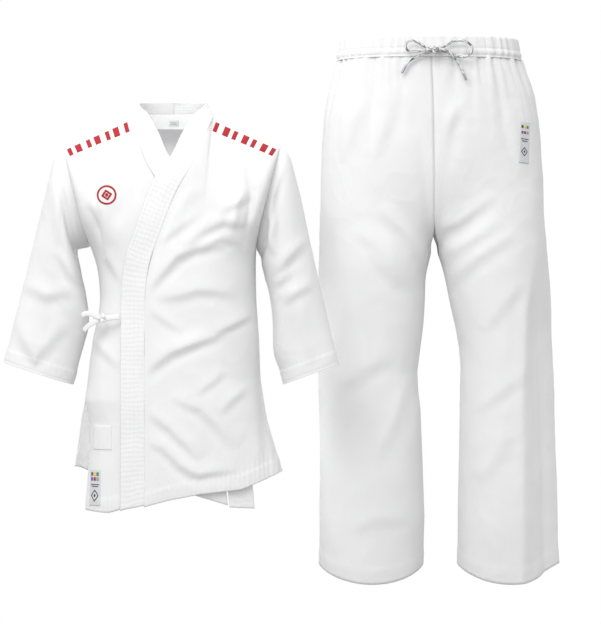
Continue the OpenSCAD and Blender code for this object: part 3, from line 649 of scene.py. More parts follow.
def make_outer_front():
    r = row_list(64, 150)
    n_u = 170
    z_mid = np.where(r <= 1, -ARMPIT * r, mix(-ARMPIT, -715.0, np.clip(r - 1, 0, None)))
    reach = np.where(r <= 1, mix(CHEST, SHOULDER, 1 - np.clip(r, 0, 1)), table(z_mid, LEFT_SIDE))
    edge = table(z_mid, OUTER_SEAM) - BAND_GAP
    reach = np.where((edge < 0) & (r > 1), table(z_mid, RIGHT_SIDE), reach)
    u0 = edge / reach
    t = np.linspace(0, 1, n_u)[None]
    uu = np.sin(mix(np.arcsin(np.clip(u0, -1, 1))[:, None], math.pi / 2, t))
    rr = np.broadcast_to(r[:, None], uu.shape)
    hem = table(uu * 211, OUTER_HEM)
    flat = eased(faced(trunk(uu, rr, hem, 0.0, LEFT_SIDE, RIGHT_SIDE)), rr)
    cloth = Cloth(flat, np.array([0, -1.0, 0]))
    x, z = plane_uv(cloth)
    fade = edge_fade(n_u, 12, 8)[None, :] * smooth(rr / 0.1)
    lift = folded(x, z, FRONT_FOLDS) + crumple(x, z, 21) * 0.55
    lift = lift + valley(x, z, [(152, -112), (158, -150), (156, -190), (147, -240)], 9, 9)
    lift = lift + ridge(x, z, [(140, -150), (128, -190), (122, -226)], 5, 12, 9)
    lift = lift + valley(x, z, [(160, -470), (168, -560), (172, -640), (176, -690)], 6, 12)
    below = flat[..., 2] - hem
    cloth.below = below
    cloth.push(lift * fade)
    cloth.push(hem_profile(below) + pucker(x, np.abs(below - HEM), 25) + pucker(x, below, 26))
    thick = 1.9 + 1.4 * smooth((HEM + 1 - below) / 3)
    made["outer"] = cloth
    return cloth.build("outer_front_cloth", thick, canvas)


def make_under_front():
    r = row_list(56, 120)
    n_u = 130
    z_mid = np.where(r <= 1, -ARMPIT * r, mix(-ARMPIT, -735.0, np.clip(r - 1, 0, None)))
    reach = np.where(r <= 1, mix(CHEST, SHOULDER, 1 - np.clip(r, 0, 1)), table(z_mid, RIGHT_SIDE))
    edge = table(z_mid, UNDER_SEAM) + BAND_GAP
    reach = np.where((edge > 0) & (r > 1), table(z_mid, LEFT_SIDE), reach)
    u1 = np.arcsin(np.clip(edge / reach, -0.999, 0.99))[:, None]
    t = np.linspace(0, 1, n_u)[None]
    uu = np.sin(mix(-math.pi / 2, u1, t))
    rr = np.broadcast_to(r[:, None], uu.shape)
    hem = table(uu * 165, UNDER_HEM)
    flat = trunk(uu, rr, hem, 0.0, LEFT_SIDE, RIGHT_SIDE)
    deep = tuck(flat[..., 0], flat[..., 2])
    flat = eased(faced(trunk(uu, rr, hem, deep, LEFT_SIDE, RIGHT_SIDE)), rr)
    cloth = Cloth(flat, np.array([0, -1.0, 0]))
    x, z = plane_uv(cloth)
    fade = edge_fade(n_u, 8, 10)[None, :] * smooth(rr / 0.1)
    lift = folded(x, z, UNDER_FOLDS) + crumple(x, z, 31) * 0.5
    lift = lift + valley(x, z, [(-164, -96), (-156, -128), (-146, -168)], 7, 9)
    lift = lift + valley(x, z, [(-156, -186), (-146, -216), (-134, -262)], 9, 9)
    lift = lift + ridge(x, z, [(-140, -150), (-128, -196), (-122, -240)], 4, 12, 9)
    lift = lift - 3 * np.exp(-(((x + 97) / 18) ** 2) - ((z + 190) / 24) ** 2)
    seen = 1 - 0.75 * smooth((x + 100) / 40) * smooth((-150 - z) / 40)
    below = flat[..., 2] - hem
    cloth.below = below
    cloth.push(lift * fade * seen)
    cloth.push(hem_profile(below) + pucker(x, np.abs(below - HEM), 35) + pucker(x, below, 36))
    thick = 1.9 + 1.4 * smooth((HEM + 1 - below) / 3)
    made["under"] = cloth
    return cloth.build("under_front_cloth", thick, canvas)


def band_stations(lapel, side, deep):
    """Free-edge and sewn-edge points of half the collar and one lapel, from the centre back down."""
    free, sewn = [], []
    for k, (f, s) in enumerate(COLLAR):
        back = deep * max(0, k - 4) / 5
        free.append((f[0] * side, f[1] + back, f[2]))
        sewn.append((s[0] * side, s[1] + back, s[2]))
    for f, s in lapel:
        free.append(front_at(f[0], f[1], -1.0 + deep))
        sewn.append(front_at(s[0], s[1], -1.0 + deep))
    return np.array(free), np.array(sewn)


def make_band(name, lapel, side, deep, seed):
    free, sewn = band_stations(lapel, side, deep)
    n = len(free) - 1
    ts = np.linspace(0, n, 700)
    rough = catmull(free, ts)
    run = np.concatenate([[0], np.cumsum(np.linalg.norm(np.diff(rough, axis=0), axis=1))])
    ts = np.interp(np.arange(0, run[-1], 2.2), run, ts)
    ts = np.append(ts[:-1], n)
    a, b = catmull(free, ts), catmull(sewn, ts)
    v = np.linspace(0, 1, 31)
    grid = a[:, None] + (b - a)[:, None] * v[None, :, None]
    centre = np.array([0, 0, 1.0]) * grid[:, :, 2:3]
    out = grid - centre
    cloth = Cloth(grid, unit(out))
    run = np.concatenate([[0], np.cumsum(np.linalg.norm(np.diff(b, axis=0), axis=1))])[:, None]
    puff = 0.4 * np.abs(np.sin(math.pi * v[None] * 6)) ** 0.7 + 0.6 * np.sin(math.pi * v[None]) ** 0.6 - 0.5
    edge = -1.0 * (np.exp(-((v / 0.02) ** 2)) + np.exp(-(((1 - v) / 0.02) ** 2)))[None]
    ripple = 0.22 * np.sin(2 * math.pi * run / 8.5 + 4 * noise(run / 40, v[None] * 2, seed))
    soft = noise(run / 70, v[None] * 1.5 + 4, seed + 1) * 2.2
    cloth.push(puff + edge + ripple + soft)
    made[name] = cloth
    return cloth.build(name, 3.7, band_canvas)


def make_sleeve(side, line, seed):
    """A sleeve from the armhole to its turned cuff; line is outer x, z, inner x, z, half depth."""
    pts = np.array(line, float)
    ts = np.linspace(0, len(pts) - 1, 120)
    st = catmull(pts, ts)
    w = np.arange(132) * 2 * math.pi / 132
    outer, inner = st[:, [0, 1]], st[:, [2, 3]]
    c, arm = (outer + inner) / 2, (outer - inner) / 2
    cw, sw = np.cos(w)[None], np.sin(w)[None]
    round_ = 1 + 0.06 * smooth(ts / 2)[:, None] * np.abs(cw * sw) * 2
    x = c[:, :1] + arm[:, :1] * cw * round_
    z = c[:, 1:] + arm[:, 1:] * cw * round_
    y = st[:, 4:5] * sw * round_
    grid = np.stack([x * side, y, z], -1)
    middle = np.stack([c[:, 0] * side, c[:, 0] * 0, c[:, 1]], -1)[:, None]
    cloth = Cloth(grid, unit(grid - middle), wrap=True)
    length = np.concatenate([[0], np.cumsum(np.linalg.norm(np.diff(c, axis=0), axis=1))])
    left = (length[-1] - length)[:, None]
    run = length[:, None]
    around = w[None] * 60
    lift = crumple(around * 0.9 + 400 * (side > 0), run * 1.0, seed) * 0.7
    front = clip01(-sw)
    back = clip01(sw)
    xx, zz = np.abs(grid[..., 0]), grid[..., 2]
    lift = lift + front * folded(xx, zz, SLEEVE_FOLDS[side > 0])
    lift = lift + back * folded(xx, zz, SLEEVE_FOLDS[side < 0])
    hollow = np.exp(-(((run - 24) / 15) ** 2)) * smooth((0.6 - cw) / 1.2) * (0.4 + 0.6 * front)
    lift = lift - 8 * hollow
    lift = lift * smooth(run / 26) * smooth((left + 6) / 30)
    cloth.push(lift)
    cloth.push(
        hem_profile(left) + pucker(around, np.abs(left - HEM), seed + 4) + pucker(around, left, seed + 5)
    )
    thick = 1.9 + 1.4 * smooth((HEM + 1 - left) / 3) + around * 0
    name = ("left" if side > 0 else "right") + "_sleeve_cloth"
    made[name] = cloth
    return cloth.build(name, thick, canvas)


SLEEVE_FOLDS = {
    True: [
        ([(204, -116), (193, -165), (195, -240)], 7, 16, 8),
        ([(178, -178), (181, -236), (192, -262)], 5, 9, 6),
        ([(226, -300), (208, -318), (194, -322)], 4, 14, 9),
        ([(250, -250), (215, -285), (196, -300)], 5, 18, 10),
        ([(262, -330), (225, -352)], 4, 18, 10),
        ([(232, -352), (246, -440)], 4, 16, 12),
    ],
    False: [
        ([(206, -96), (197, -160), (182, -250)], 7, 18, 8),
        ([(184, -190), (176, -250), (168, -280)], 5, 9, 6),
        ([(214, -268), (190, -306), (172, -322)], 4, 14, 9),
        ([(285, -330), (240, -350), (195, -340)], 4, 22, 12),
        ([(300, -400), (255, -468), (205, -410)], 5, 26, 12),
        ([(230, -150), (215, -230)], 3, 16, 12),
    ],
}
LEFT_SLEEVE = [
    (205, -60, 157, -250, 65), (222, -80, 165, -270, 66), (241, -150, 176, -308, 64),
    (255, -215, 186, -352, 59), (274, -300, 190, -397, 53), (295, -390, 193, -450, 48),
    (308, -444, 205, -484, 46), (315, -472, 211, -511, 45),
]
RIGHT_SLEEVE = [
    (205, -60, 157, -250, 65), (222, -80, 181, -262, 66), (241, -150, 174, -304, 64),
    (256, -215, 164, -350, 59), (276, -300, 161, -397, 53), (299, -390, 170, -440, 48),
    (312, -442, 182, -484, 46), (319, -469, 190, -511, 45),
]

back_cloth = make_back()
outer_front = make_outer_front()
under_front = make_under_front()
outer_band = make_band("outer_lapel_and_collar", OUTER_LAPEL, 1, 0.0, 41)
under_band = make_band("under_lapel_and_collar", UNDER_LAPEL, -1, SPACE, 51)
left_sleeve = make_sleeve(1, LEFT_SLEEVE, 61)
right_sleeve = make_sleeve(-1, RIGHT_SLEEVE, 71)

# ------------------------------------------------------------------ trousers shape (mm)
TY = 180.0
HIP_HALF = [
    (-900, 219), (-110, 219), (-43, 215.5), (4, 210.6), (27, 206.6), (51, 201.7),
    (75, 194), (98, 187), (120, 179), (161, 172),
]
HIP_MID = [(-900, 502), (-110, 502), (4, 500), (51, 499), (120, 496)]
HIP_DEEP = [(-900, 112), (-110, 112), (4, 111), (120, 106), (161, 104)]
LEFT_OUT = [
    (-100, 720), (-185, 725), (-232, 731), (-350, 735), (-421, 738), (-492, 741), (-563, 743),
    (-705, 747), (-846, 750), (-870, 751),
]
LEFT_IN = [
    (-60, 506), (-250, 506), (-256, 513), (-280, 522), (-301, 526), (-350, 536), (-397, 547),
    (-444, 555), (-480, 558), (-540, 557), (-610, 556), (-740, 553), (-870, 552),
]
RIGHT_OUT = [(-100, 283), (-232, 279), (-350, 278), (-516, 278), (-563, 279), (-610, 281), (-870, 280)]
RIGHT_IN = [
    (-60, 506), (-250, 506), (-256, 502), (-280, 494), (-301, 489), (-350, 488), (-397, 485),
    (-444, 479), (-492, 473), (-530, 475), (-563, 479), (-657, 483), (-775, 487), (-870, 484),
]
LEG_DEEP = [(-60, 112), (-250, 108), (-320, 100), (-410, 94), (-500, 90), (-620, 87), (-760, 84), (-870, 82)]
LEG_DIP = [(-560, 0), (-620, 4), (-760, 18), (-838, 34), (-868, 40)]
TROUSER_FOLDS = [
    ([(398, -186), (434, -226), (474, -274)], 5, 24, 13),
    ([(352, -226), (392, -262), (436, -318)], 4, 24, 13),
    ([(540, -318), (606, -262), (652, -232)], 3.5, 22, 12),
    ([(372, 30), (352, -10), (340, -70)], 3.5, 18, 12),
    ([(430, 50), (418, 0), (396, -60)], 3, 18, 12),
    ([(640, 20), (656, -40), (664, -96)], 3.0, 18, 12),
    ([(508, -226), (556, -206), (606, -166)], 4.5, 18, 12),
    ([(548, 20), (530, -30), (516, -90)], 5, 16, 12),
    ([(528, -270), (575, -244), (622, -210)], 3.5, 18, 11),
    ([(318, -528), (362, -498), (416, -466)], 3, 24, 14),
    ([(596, -564), (636, -530), (676, -500)], 2.8, 22, 13),
    ([(606, -404), (640, -366), (672, -328)], 2.5, 20, 13),
    ([(458, -515), (436, -584), (404, -652)], 3.5, 14, 15),
    ([(376, -270), (398, -294), (420, -322)], 3, 16, 11),
    ([(352, -800), (400, -784), (440, -780)], 2, 22, 14),
    ([(600, -700), (630, -660), (650, -610)], 2.5, 20, 14),
    ([(340, -360), (360, -420), (372, -480)], 2.5, 20, 14),
]
TROUSER_CREASES = [
    ([(470, -60), (486, -160), (498, -246)], 4.5, 12),
    ([(680, -240), (692, -420), (696, -700)], 3.5, 16),
    ([(312, -250), (304, -420)], 2.5, 16),
    ([(395, 80), (385, -40)], 3, 12),
    ([(612, 84), (630, -30)], 3, 12),
]


# Height and x of the pressed line down the wearer's left leg; outside it the cloth turns away
PRESSED_LINE = [(-900, 676), (-560, 672), (-374, 680), (-190, 708)]


def make_trouser_half(side, seed):
    name = ("left" if side > 0 else "right") + "_trouser_half"
    z_rows = np.concatenate(
        [np.linspace(122, -60, 44), np.linspace(-64, -262, 60), np.linspace(-266, -868, 112)]
    )
    t = np.linspace(0, 1, 150)
    t = t - 0.012 * np.sin(4 * math.pi * t)
    zz, tt = np.meshgrid(z_rows, t, indexing="ij")
    theta, psi = math.pi * tt, 2 * math.pi * tt
    e = 2 / PLAN
    hip_x = table(zz, HIP_MID) + side * table(zz, HIP_HALF) * signed_pow(np.sin(theta), e)
    hip_y = -table(zz, HIP_DEEP) * signed_pow(np.cos(theta), e)
    out = table(zz, LEFT_OUT if side > 0 else RIGHT_OUT)
    inn = table(zz, LEFT_IN if side > 0 else RIGHT_IN)
    leg_x = (out + inn) / 2 - (out - inn) / 2 * np.cos(psi)
    leg_y = -table(zz, LEG_DEEP) * np.sin(psi)
    q = clip01((-60 - zz) / 190)
    w_edge = 1 - dome(q, TOP)
    w_mid = smooth((-30 - zz) / 320)
    w = mix(w_mid, w_edge, np.abs(2 * tt - 1) ** 3)
    x, y = mix(hip_x, leg_x, w), mix(hip_y, leg_y, w)
    frontal = clip01(-y / 90)
    dip = table(zz, LEG_DIP) * frontal**1.5
    grid = np.stack([x, y + TY, zz - dip], -1)
    centre = np.stack([mix(table(zz, HIP_MID) + side * 60, (out + inn) / 2, w), zz * 0 + TY, zz], -1)
    grid = eased(grid, zz, -250, 36)
    cloth = Cloth(grid, unit(grid - centre))
    gx, gz = plane_uv(cloth)
    facing = clip01(-cloth.n[..., 1] * 1.6)
    behind = clip01(cloth.n[..., 1] * 1.6)
    mirrored = 1004 - gx
    lift = facing * folded(gx, gz, TROUSER_FOLDS) + behind * folded(mirrored, gz + 12, TROUSER_FOLDS)
    for points, amp, wide in TROUSER_CREASES:
        lift = lift + facing * valley(gx, gz, points, amp, wide)
        lift = lift + behind * valley(mirrored, gz, points, amp, wide)
    if side > 0:
        crease = np.interp(gz, *zip(*PRESSED_LINE)) + 5 * noise(gz / 120, gz * 0, 77)
        past = clip01((gx - crease) / 60)
        edge = 4 * np.exp(-(((gx - crease) / 15) ** 2))
        lift = lift - facing * smooth((-150 - gz) / 300) * (22 * past - edge)
    round_run = tt * 600
    lift = lift + crumple(round_run + 900 * (side > 0), gz, seed) * 0.75
    under = 122 - gz
    fan = noise(round_run / 11 + under / 90, under / 130, seed + 6) * 9 * np.exp(-under / 38)
    fan = fan + noise(round_run / 26, under / 150, seed + 7) * 10 * np.exp(-under / 75)
    lift = lift + fan * smooth((under + 6) / 12)
    to_edge = np.minimum(tt, 1 - tt) * 600
    seam_fade = smooth((to_edge - 1.0) / 24)
    lift = lift * seam_fade
    lift = lift - 0.5 * np.exp(-((to_edge / 2.4) ** 2))
    crotch = smooth((60 - gz) / 260) * smooth((gz + 262) / 20)
    lift = lift - 5.0 * crotch * np.exp(-((to_edge / 20) ** 2))
    side_seam = (tt - 0.5) * 600
    lift = lift - 0.7 * np.exp(-((side_seam / 1.6) ** 2))
    cloth.push(lift)
    below = zz + 868
    gathers = pucker(round_run, np.abs(below - 30), seed + 8) + pucker(round_run, below, seed + 9)
    cloth.push(hem_profile(below, 30) + gathers)
    thick = 1.5 + 1.2 * smooth((31 - below) / 3)
    made[name] = cloth
    return cloth.build(name, thick, trouser_canvas)


left_half = make_trouser_half(1, 81)
right_half = make_trouser_half(-1, 91)


def make_waistband():
    """Casing round the elastic: up the outside, over the top edge and down inside."""
    n = 620
    w = np.arange(n) * 2 * math.pi / n
    prof = []
    for z in np.linspace(119, 157, 26):
        prof.append((z, 2.2))
    for k in range(1, 8):
        a = math.pi * k / 8
        prof.append((157 + 4.2 * math.sin(a), 2.2 - (1 - math.cos(a)) * 4.3))
    for z in np.linspace(156, 124, 12):
        prof.append((z, -6.4))
    prof = np.array(prof)
    zz = prof[:, :1] + 0 * w[None]
    off = prof[:, 1:] + 0 * w[None]
    run = w[None] * 150
    gather = noise(run / 10.5, zz * 0 + 3.3, 101) * 3.4 + noise(run / 5.2, zz / 60, 102) * 1.2
    gather = gather + np.abs(noise(run / 8.0 + 50, zz / 90, 103)) * 2.0
    channel = 1.0 * np.exp(-(((zz - 129.5) / 4.5) ** 2)) - 0.9 * np.exp(-(((zz - 136) / 1.8) ** 2))
    channel = channel - 1.0 * np.exp(-(((zz - 122.5) / 1.8) ** 2))
    tall = smooth((zz - 118) / 10) * 0.9 + 0.1
    push = off + gather * tall + channel * (off > 0)
    half, deep = table(zz, HIP_HALF) + push, table(zz, HIP_DEEP) + push
    cw, sw = np.cos(w)[None], np.sin(w)[None]
    wave = noise(run / 16, run * 0, 104) * 2.2 * smooth((zz - 140) / 20)
    grid = np.stack(
        [496 + half * signed_pow(cw, 2 / PLAN), TY + deep * signed_pow(sw, 2 / PLAN), zz + wave], -1
    )
    outward = np.stack([cw * (off > -2) - cw * (off <= -2), sw * (off > -2) - sw * (off <= -2), zz * 0], -1)
    cloth = Cloth(grid, outward, wrap=True)
    made["waistband"] = cloth
    return cloth.build("waistband_cloth", 1.3, trouser_canvas)


waistband = make_waistband()

# ------------------------------------------------------------------ details laid on the cloth
from mathutils import Vector
from mathutils.bvhtree import BVHTree


def skin(piece):
    mesh = piece.data
    return BVHTree.FromPolygons([v.co for v in mesh.vertices], [p.vertices for p in mesh.polygons])


def press(tree, points, toward):
    """Points in mm, moved along a direction until they meet the cloth."""
    toward = Vector(toward).normalized()
    out = np.array(points, float)
    flat = out.reshape(-1, 3)
    for k in range(len(flat)):
        start = Vector(flat[k] * MM) - toward * 0.06
        spot = tree.ray_cast(start, toward)[0]
        if spot is not None:
            flat[k] = np.array(spot) / MM
    return out


def patch(name, tree, points, toward, thick, material, soft=1.0, lift=0.0, wrap=False):
    """A flat thing sewn on: a grid of points pressed onto the cloth, thick, with rounded edges."""
    grid = press(tree, points, toward)
    cloth = Cloth(grid, -np.asarray(toward, float), wrap)
    rows, cols = grid.shape[:2]
    i = np.minimum(np.arange(rows), np.arange(rows)[::-1])[:, None]
    j = np.minimum(np.arange(cols), np.arange(cols)[::-1])[None]
    near = i + 0 * j if wrap else np.minimum(i, j)
    cloth.push(lift + thick * (0.45 + 0.55 * smooth((near + 0.2) / soft)))
    made[name] = cloth
    return cloth.build(name, thick + 0.1, material)


def contour(cloth, field, value):
    """The line across a sheet where a field falls to a value, with the sheet's normals there."""
    field = np.broadcast_to(field, cloth.p.shape[:2])
    under = field <= value
    r = np.clip(np.argmax(under, axis=0), 1, None)
    c = np.arange(field.shape[1])
    f = ((field[r - 1, c] - value) / (field[r - 1, c] - field[r, c]))[:, None]
    p = mix(cloth.p[r - 1, c], cloth.p[r, c], f)
    n = unit(mix(cloth.n[r - 1, c], cloth.n[r, c], f))
    if cloth.wrap:
        p, n = np.concatenate([p, p[:1]]), np.concatenate([n, n[:1]])
    return p, n


def closed_ring(name, centre, axis, radius, section, material, squash_to=1.0):
    """A smooth ring round an axis."""
    axis = unit(np.asarray(axis, float))
    side = unit(np.cross(axis, [0.31, 0.2, 0.93]))
    up = np.cross(axis, side)
    a = np.arange(64) * 2 * math.pi / 64
    b = np.arange(20) * 2 * math.pi / 20
    aa, bb = np.meshgrid(a, b, indexing="ij")
    out = side * np.cos(aa)[..., None] + up * np.sin(aa)[..., None]
    points = np.asarray(centre, float) + out * (radius + section * np.cos(bb))[..., None]
    points = points + axis * (section * squash_to * np.sin(bb))[..., None]
    i = np.arange(64 * 20).reshape(64, 20)
    i = np.concatenate([i, i[:1]], 0)
    i = np.concatenate([i, i[:, :1]], 1)
    quads = np.stack([i[:-1, :-1], i[1:, :-1], i[1:, 1:], i[:-1, 1:]], -1).reshape(-1, 4)
    uv = np.stack([aa * radius, bb * section], -1).reshape(-1, 2) * MM
    return new_object(name, points.reshape(-1, 3) * MM, quads, uv, material)


def route_line(route, step=1.6):
    """The same smoothed route as the CAD's, in points close together."""
    ts = np.linspace(0, len(route) - 1, (len(route) - 1) * 24 + 1)
    fine = catmull(route, ts)
    run = np.concatenate([[0], np.cumsum(np.linalg.norm(np.diff(fine, axis=0), axis=1))])
    at = np.linspace(0, run[-1], max(8, int(run[-1] / step)))
    return np.stack([np.interp(at, run, fine[:, k]) for k in range(3)], 1), run[-1]


def knot(name, centre, size, wide, thick, face, turn, material):
    """A small tied knot: the tape or cord winds over and under itself."""
    t = np.linspace(0, 2 * math.pi, 150)
    shape = np.stack([np.sin(t) + 2 * np.sin(2 * t), -1.2 * np.sin(3 * t), np.cos(t) - 2 * np.cos(2 * t)], 1)
    c, s = math.cos(turn), math.sin(turn)
    x = shape[:, 0] * c - shape[:, 2] * s
    z = shape[:, 0] * s + shape[:, 2] * c
    line = np.stack([x * size[0] / 3, shape[:, 1] * size[1] / 1.2, z * size[2] / 3], 1) + np.array(centre)
    return tube(name, line, wide, thick, face, material, 14)


# thread and print colours
def cord_material(name):
    material = cloth_material(name, (0.74, 0.74, 0.74), weave=1.1, weave_depth=0.25)
    tree, nodes, links = nodes_of(material)
    shader = nodes["Principled BSDF"]
    white = shader.inputs["Base Color"].links[0].from_socket
    uv = [n for n in nodes if n.bl_idname == "ShaderNodeUVMap"][0]
    spread = nodes.new("ShaderNodeMapping")
    spread.inputs["Scale"].default_value = (420, 90, 1)
    flecks = nodes.new("ShaderNodeTexNoise")
    flecks.inputs["Scale"].default_value = 1.0
    flecks.inputs["Detail"].default_value = 3
    links.new(uv.outputs[0], spread.inputs[0])
    links.new(spread.outputs[0], flecks.inputs["Vector"])
    cut = nodes.new("ShaderNodeMapRange")
    cut.inputs["From Min"].default_value = 0.50
    cut.inputs["From Max"].default_value = 0.56
    links.new(flecks.outputs[0], cut.inputs["Value"])
    blend = nodes.new("ShaderNodeMix")
    blend.data_type = "RGBA"
    blend.inputs["B"].default_value = (0.13, 0.13, 0.14, 1)
    links.new(cut.outputs[0], blend.inputs["Factor"])
    links.new(white, blend.inputs["A"])
    links.new(blend.outputs["Result"], shader.inputs["Base Color"])
    return material


string_cloth = cord_material("flecked cord")
label_cloth = cloth_material("woven label", (0.62, 0.63, 0.65), weave=0.5, weave_depth=0.05)
metal = plain_material("aglet", (0.45, 0.45, 0.47), 0.35, 1.0)
elastic_cloth = cloth_material("elastic", (0.7, 0.7, 0.68), weave=1.6, weave_depth=0.2)
ink = plain_material("dark thread", (0.03, 0.03, 0.035), 0.6, sheen=0.2, grain=0.3)
PRINT = {
    "yellow": plain_material("yellow thread", (0.75, 0.55, 0.06), 0.6, grain=0.3),
    "green": plain_material("green thread", (0.03, 0.25, 0.08), 0.6, grain=0.3),
    "blue": plain_material("blue thread", (0.04, 0.12, 0.45), 0.6, grain=0.3),
    "grey": plain_material("grey thread", (0.30, 0.30, 0.32), 0.6, grain=0.3),
}

FRONT = (0, 1, 0)
outer_skin = skin(outer_front)
under_skin = skin(under_front)
left_half_skin = skin(left_half)

# ------------------------------------------------------------------ cords, ties and strings
BOW_Y = TY - 106 - 14
LEFT_STRING = [
    (487, BOW_Y + 6, 133), (478, BOW_Y + 3, 139), (466, BOW_Y, 146), (453, BOW_Y, 148),
    (445, BOW_Y, 140), (449, BOW_Y, 130), (461, BOW_Y - 2, 127), (478, BOW_Y - 5, 129),
    (498, BOW_Y - 8, 131), (514, BOW_Y - 6, 131), (529, BOW_Y - 3, 126), (542, BOW_Y, 111),
    (551, BOW_Y + 1, 97), (557, BOW_Y + 2, 84),
]
RIGHT_STRING = [
    (513, BOW_Y + 7, 133), (526, BOW_Y + 4, 141), (541, BOW_Y + 2, 148), (559, BOW_Y + 1, 147),
    (572, BOW_Y + 1, 138), (571, BOW_Y + 2, 124), (557, BOW_Y + 4, 117), (538, BOW_Y + 5, 121),
    (518, BOW_Y + 1, 127), (498, BOW_Y - 1, 131), (480, BOW_Y + 5, 122), (463, BOW_Y + 5, 116),
    (451, BOW_Y + 5, 108), (444, BOW_Y + 6, 97),
]
SIDE_TIE = [(-142, -34, -391), (-146, -49, -390), (-146, -65, -388), (-140, -80, -387), (-130, -91, -386)]
STRAP = [(-95, -104.5, -383), (-103, -105, -384), (-112, -104, -385), (-119, -101, -386)]
TAIL_HIGH = [(-134, -99, -383), (-146, -98, -378), (-156, -95, -377), (-164, -92, -380)]
TAIL_LOW = [(-134, -97, -389), (-144, -97, -394), (-153, -93, -400), (-161, -88, -408)]
INNER_FRONT = [(108, -76, -392), (118, -67, -400), (122, -62, -425), (121, -60, -455), (120, -60, -485)]
INNER_SIDE = [(142, -8, -388), (135, -12, -400), (132, -15, -430), (132, -16, -460), (131, -16, -490)]
TIE_WIDE, TIE_THICK, STRING = 10.0, 2.4, 5.0


def aglet(name, route):
    line, _ = route_line(route)
    end, along = line[-1], unit(line[-1] - line[-3])
    points = end + along * np.linspace(-1.0, 12.4, 14)[:, None]
    return tube(name, points, 4.9, 4.9, (0.05, 1, 0.03), metal, 24)


left_line, left_length = route_line(LEFT_STRING)
right_line, right_length = route_line(RIGHT_STRING)
left_string = tube("bow_cord_left", left_line, STRING, STRING, (0.05, 1, 0.03), string_cloth, 14)
right_string = tube("bow_cord_right", right_line, STRING, STRING, (0.05, 1, 0.03), string_cloth, 14)
left_tip = aglet("cord_tip_left", LEFT_STRING)
right_tip = aglet("cord_tip_right", RIGHT_STRING)
string_knot = knot("bow_knot", (500, BOW_Y - 4.5, 130), (8, 5, 7), 4.6, 4.6, (0, 1, 0.02), 0.4, string_cloth)
side_line, side_length = route_line(SIDE_TIE)
strap_line, strap_length = route_line(STRAP, 1.0)
high_line, high_length = route_line(TAIL_HIGH, 1.0)
low_line, low_length = route_line(TAIL_LOW, 1.0)
front_line, front_length = route_line(INNER_FRONT)
inner_line, inner_length = route_line(INNER_SIDE)
side_strap = tube("side_strap", side_line, TIE_THICK, TIE_WIDE, (0, 0, 1), tape_cloth)
outer_strap = tube("outer_strap", strap_line, TIE_WIDE, TIE_THICK, (0, -1, 0.05), tape_cloth)
tail_high = tube("bow_tail_high", high_line, TIE_THICK, TIE_WIDE, (0, 0, 1), tape_cloth)
tail_low = tube("bow_tail_low", low_line, TIE_THICK, TIE_WIDE, (0, 0, 1), tape_cloth)
side_knot = knot("side_knot", (-128, -95, -386), (7.5, 4.5, 6.5), 6.5, 2.6, (0.2, 1, 0.1), 0.9, tape_cloth)
inner_a = tube("inner_strap_front", front_line, TIE_WIDE, TIE_THICK, (0.3, -1, 0), tape_cloth)
inner_b = tube("inner_strap_side", inner_line, TIE_WIDE, TIE_THICK, (-1, -0.2, 0), tape_cloth)
rings = [
    closed_ring(name, (x, TY - 106 - 4.8, 131), (0, 1, 0), 4.6, 1.1, metal, 0.8)
    for name, x in (("left_ring", 512), ("right_ring", 488))
]

# ------------------------------------------------------------------ patches, marks and labels


def square_grid(x0, x1, z0, z1, rows, cols, y, lean=0.0):
    s, t = np.meshgrid(np.linspace(0, 1, rows), np.linspace(0, 1, cols), indexing="ij")
    x = mix(x0, x1, t) + lean * (s - 0.5)
    return np.stack([x, np.full(s.shape, float(y)), mix(z1, z0, s)], -1)


def turned(points, centre, degrees):
    a = math.radians(degrees)
    x, z = points[..., 0] - centre[0], points[..., 2] - centre[1]
    out = points.copy()
    out[..., 0] = centre[0] + x * math.cos(a) - z * math.sin(a)
    out[..., 2] = centre[1] + x * math.sin(a) + z * math.cos(a)
    return out


def disc_grid(x, z, r0, r1, rows, cols, y, lozenge=0.0):
    r, a = np.meshgrid(np.linspace(r0, r1, rows), np.arange(cols) * 2 * math.pi / cols, indexing="ij")
    if lozenge:
        r = r / (np.abs(np.cos(a)) + np.abs(np.sin(a))) ** lozenge
    return np.stack([x + r * np.cos(a), np.full(r.shape, float(y)), z + r * np.sin(a)], -1)


marks = []
EMBLEM = (-118, -156)
ring = disc_grid(*EMBLEM, 14.8, 18.2, 6, 96, -90)
marks.append(patch("emblem_ring", under_skin, ring, FRONT, 0.9, red_thread, 1.5, 0.1, True))
lozenge = turned(disc_grid(*EMBLEM, 5.5, 10.5, 6, 96, -90, 0.92), EMBLEM, 12)
marks.append(patch("emblem_lozenge", under_skin, lozenge, FRONT, 0.9, red_thread, 1.5, 0.1, True))
core = turned(disc_grid(*EMBLEM, 0.2, 3.2, 5, 48, -90), EMBLEM, 0)
marks.append(patch("emblem_core", under_skin, core, FRONT, 0.8, red_thread, 1.5, 0.1, True))


def shoulder_bars(side, tree):
    bars = []
    for k in range(7):
        base = mix(0.41, 0.93, k / 6)
        t, a = np.meshgrid(np.linspace(0, 1, 12), np.linspace(0, 1, 8), indexing="ij")
        u = side * (base + a * (0.052 if k % 2 else 0.036) + t * 0.02 - 0.02)
        grid = faced(chest(u, mix(0.865, 0.945, t), -3.0))
        name = ("left" if side > 0 else "right") + "_bar_" + "abcdefg"[k]
        bars.append(patch(name, tree, grid, (-0.2 * side, 0.75, -0.6), 0.8, red_thread, 2.0, 0.1))
    return bars


left_bars = shoulder_bars(1, outer_skin)
right_bars = shoulder_bars(-1, under_skin)


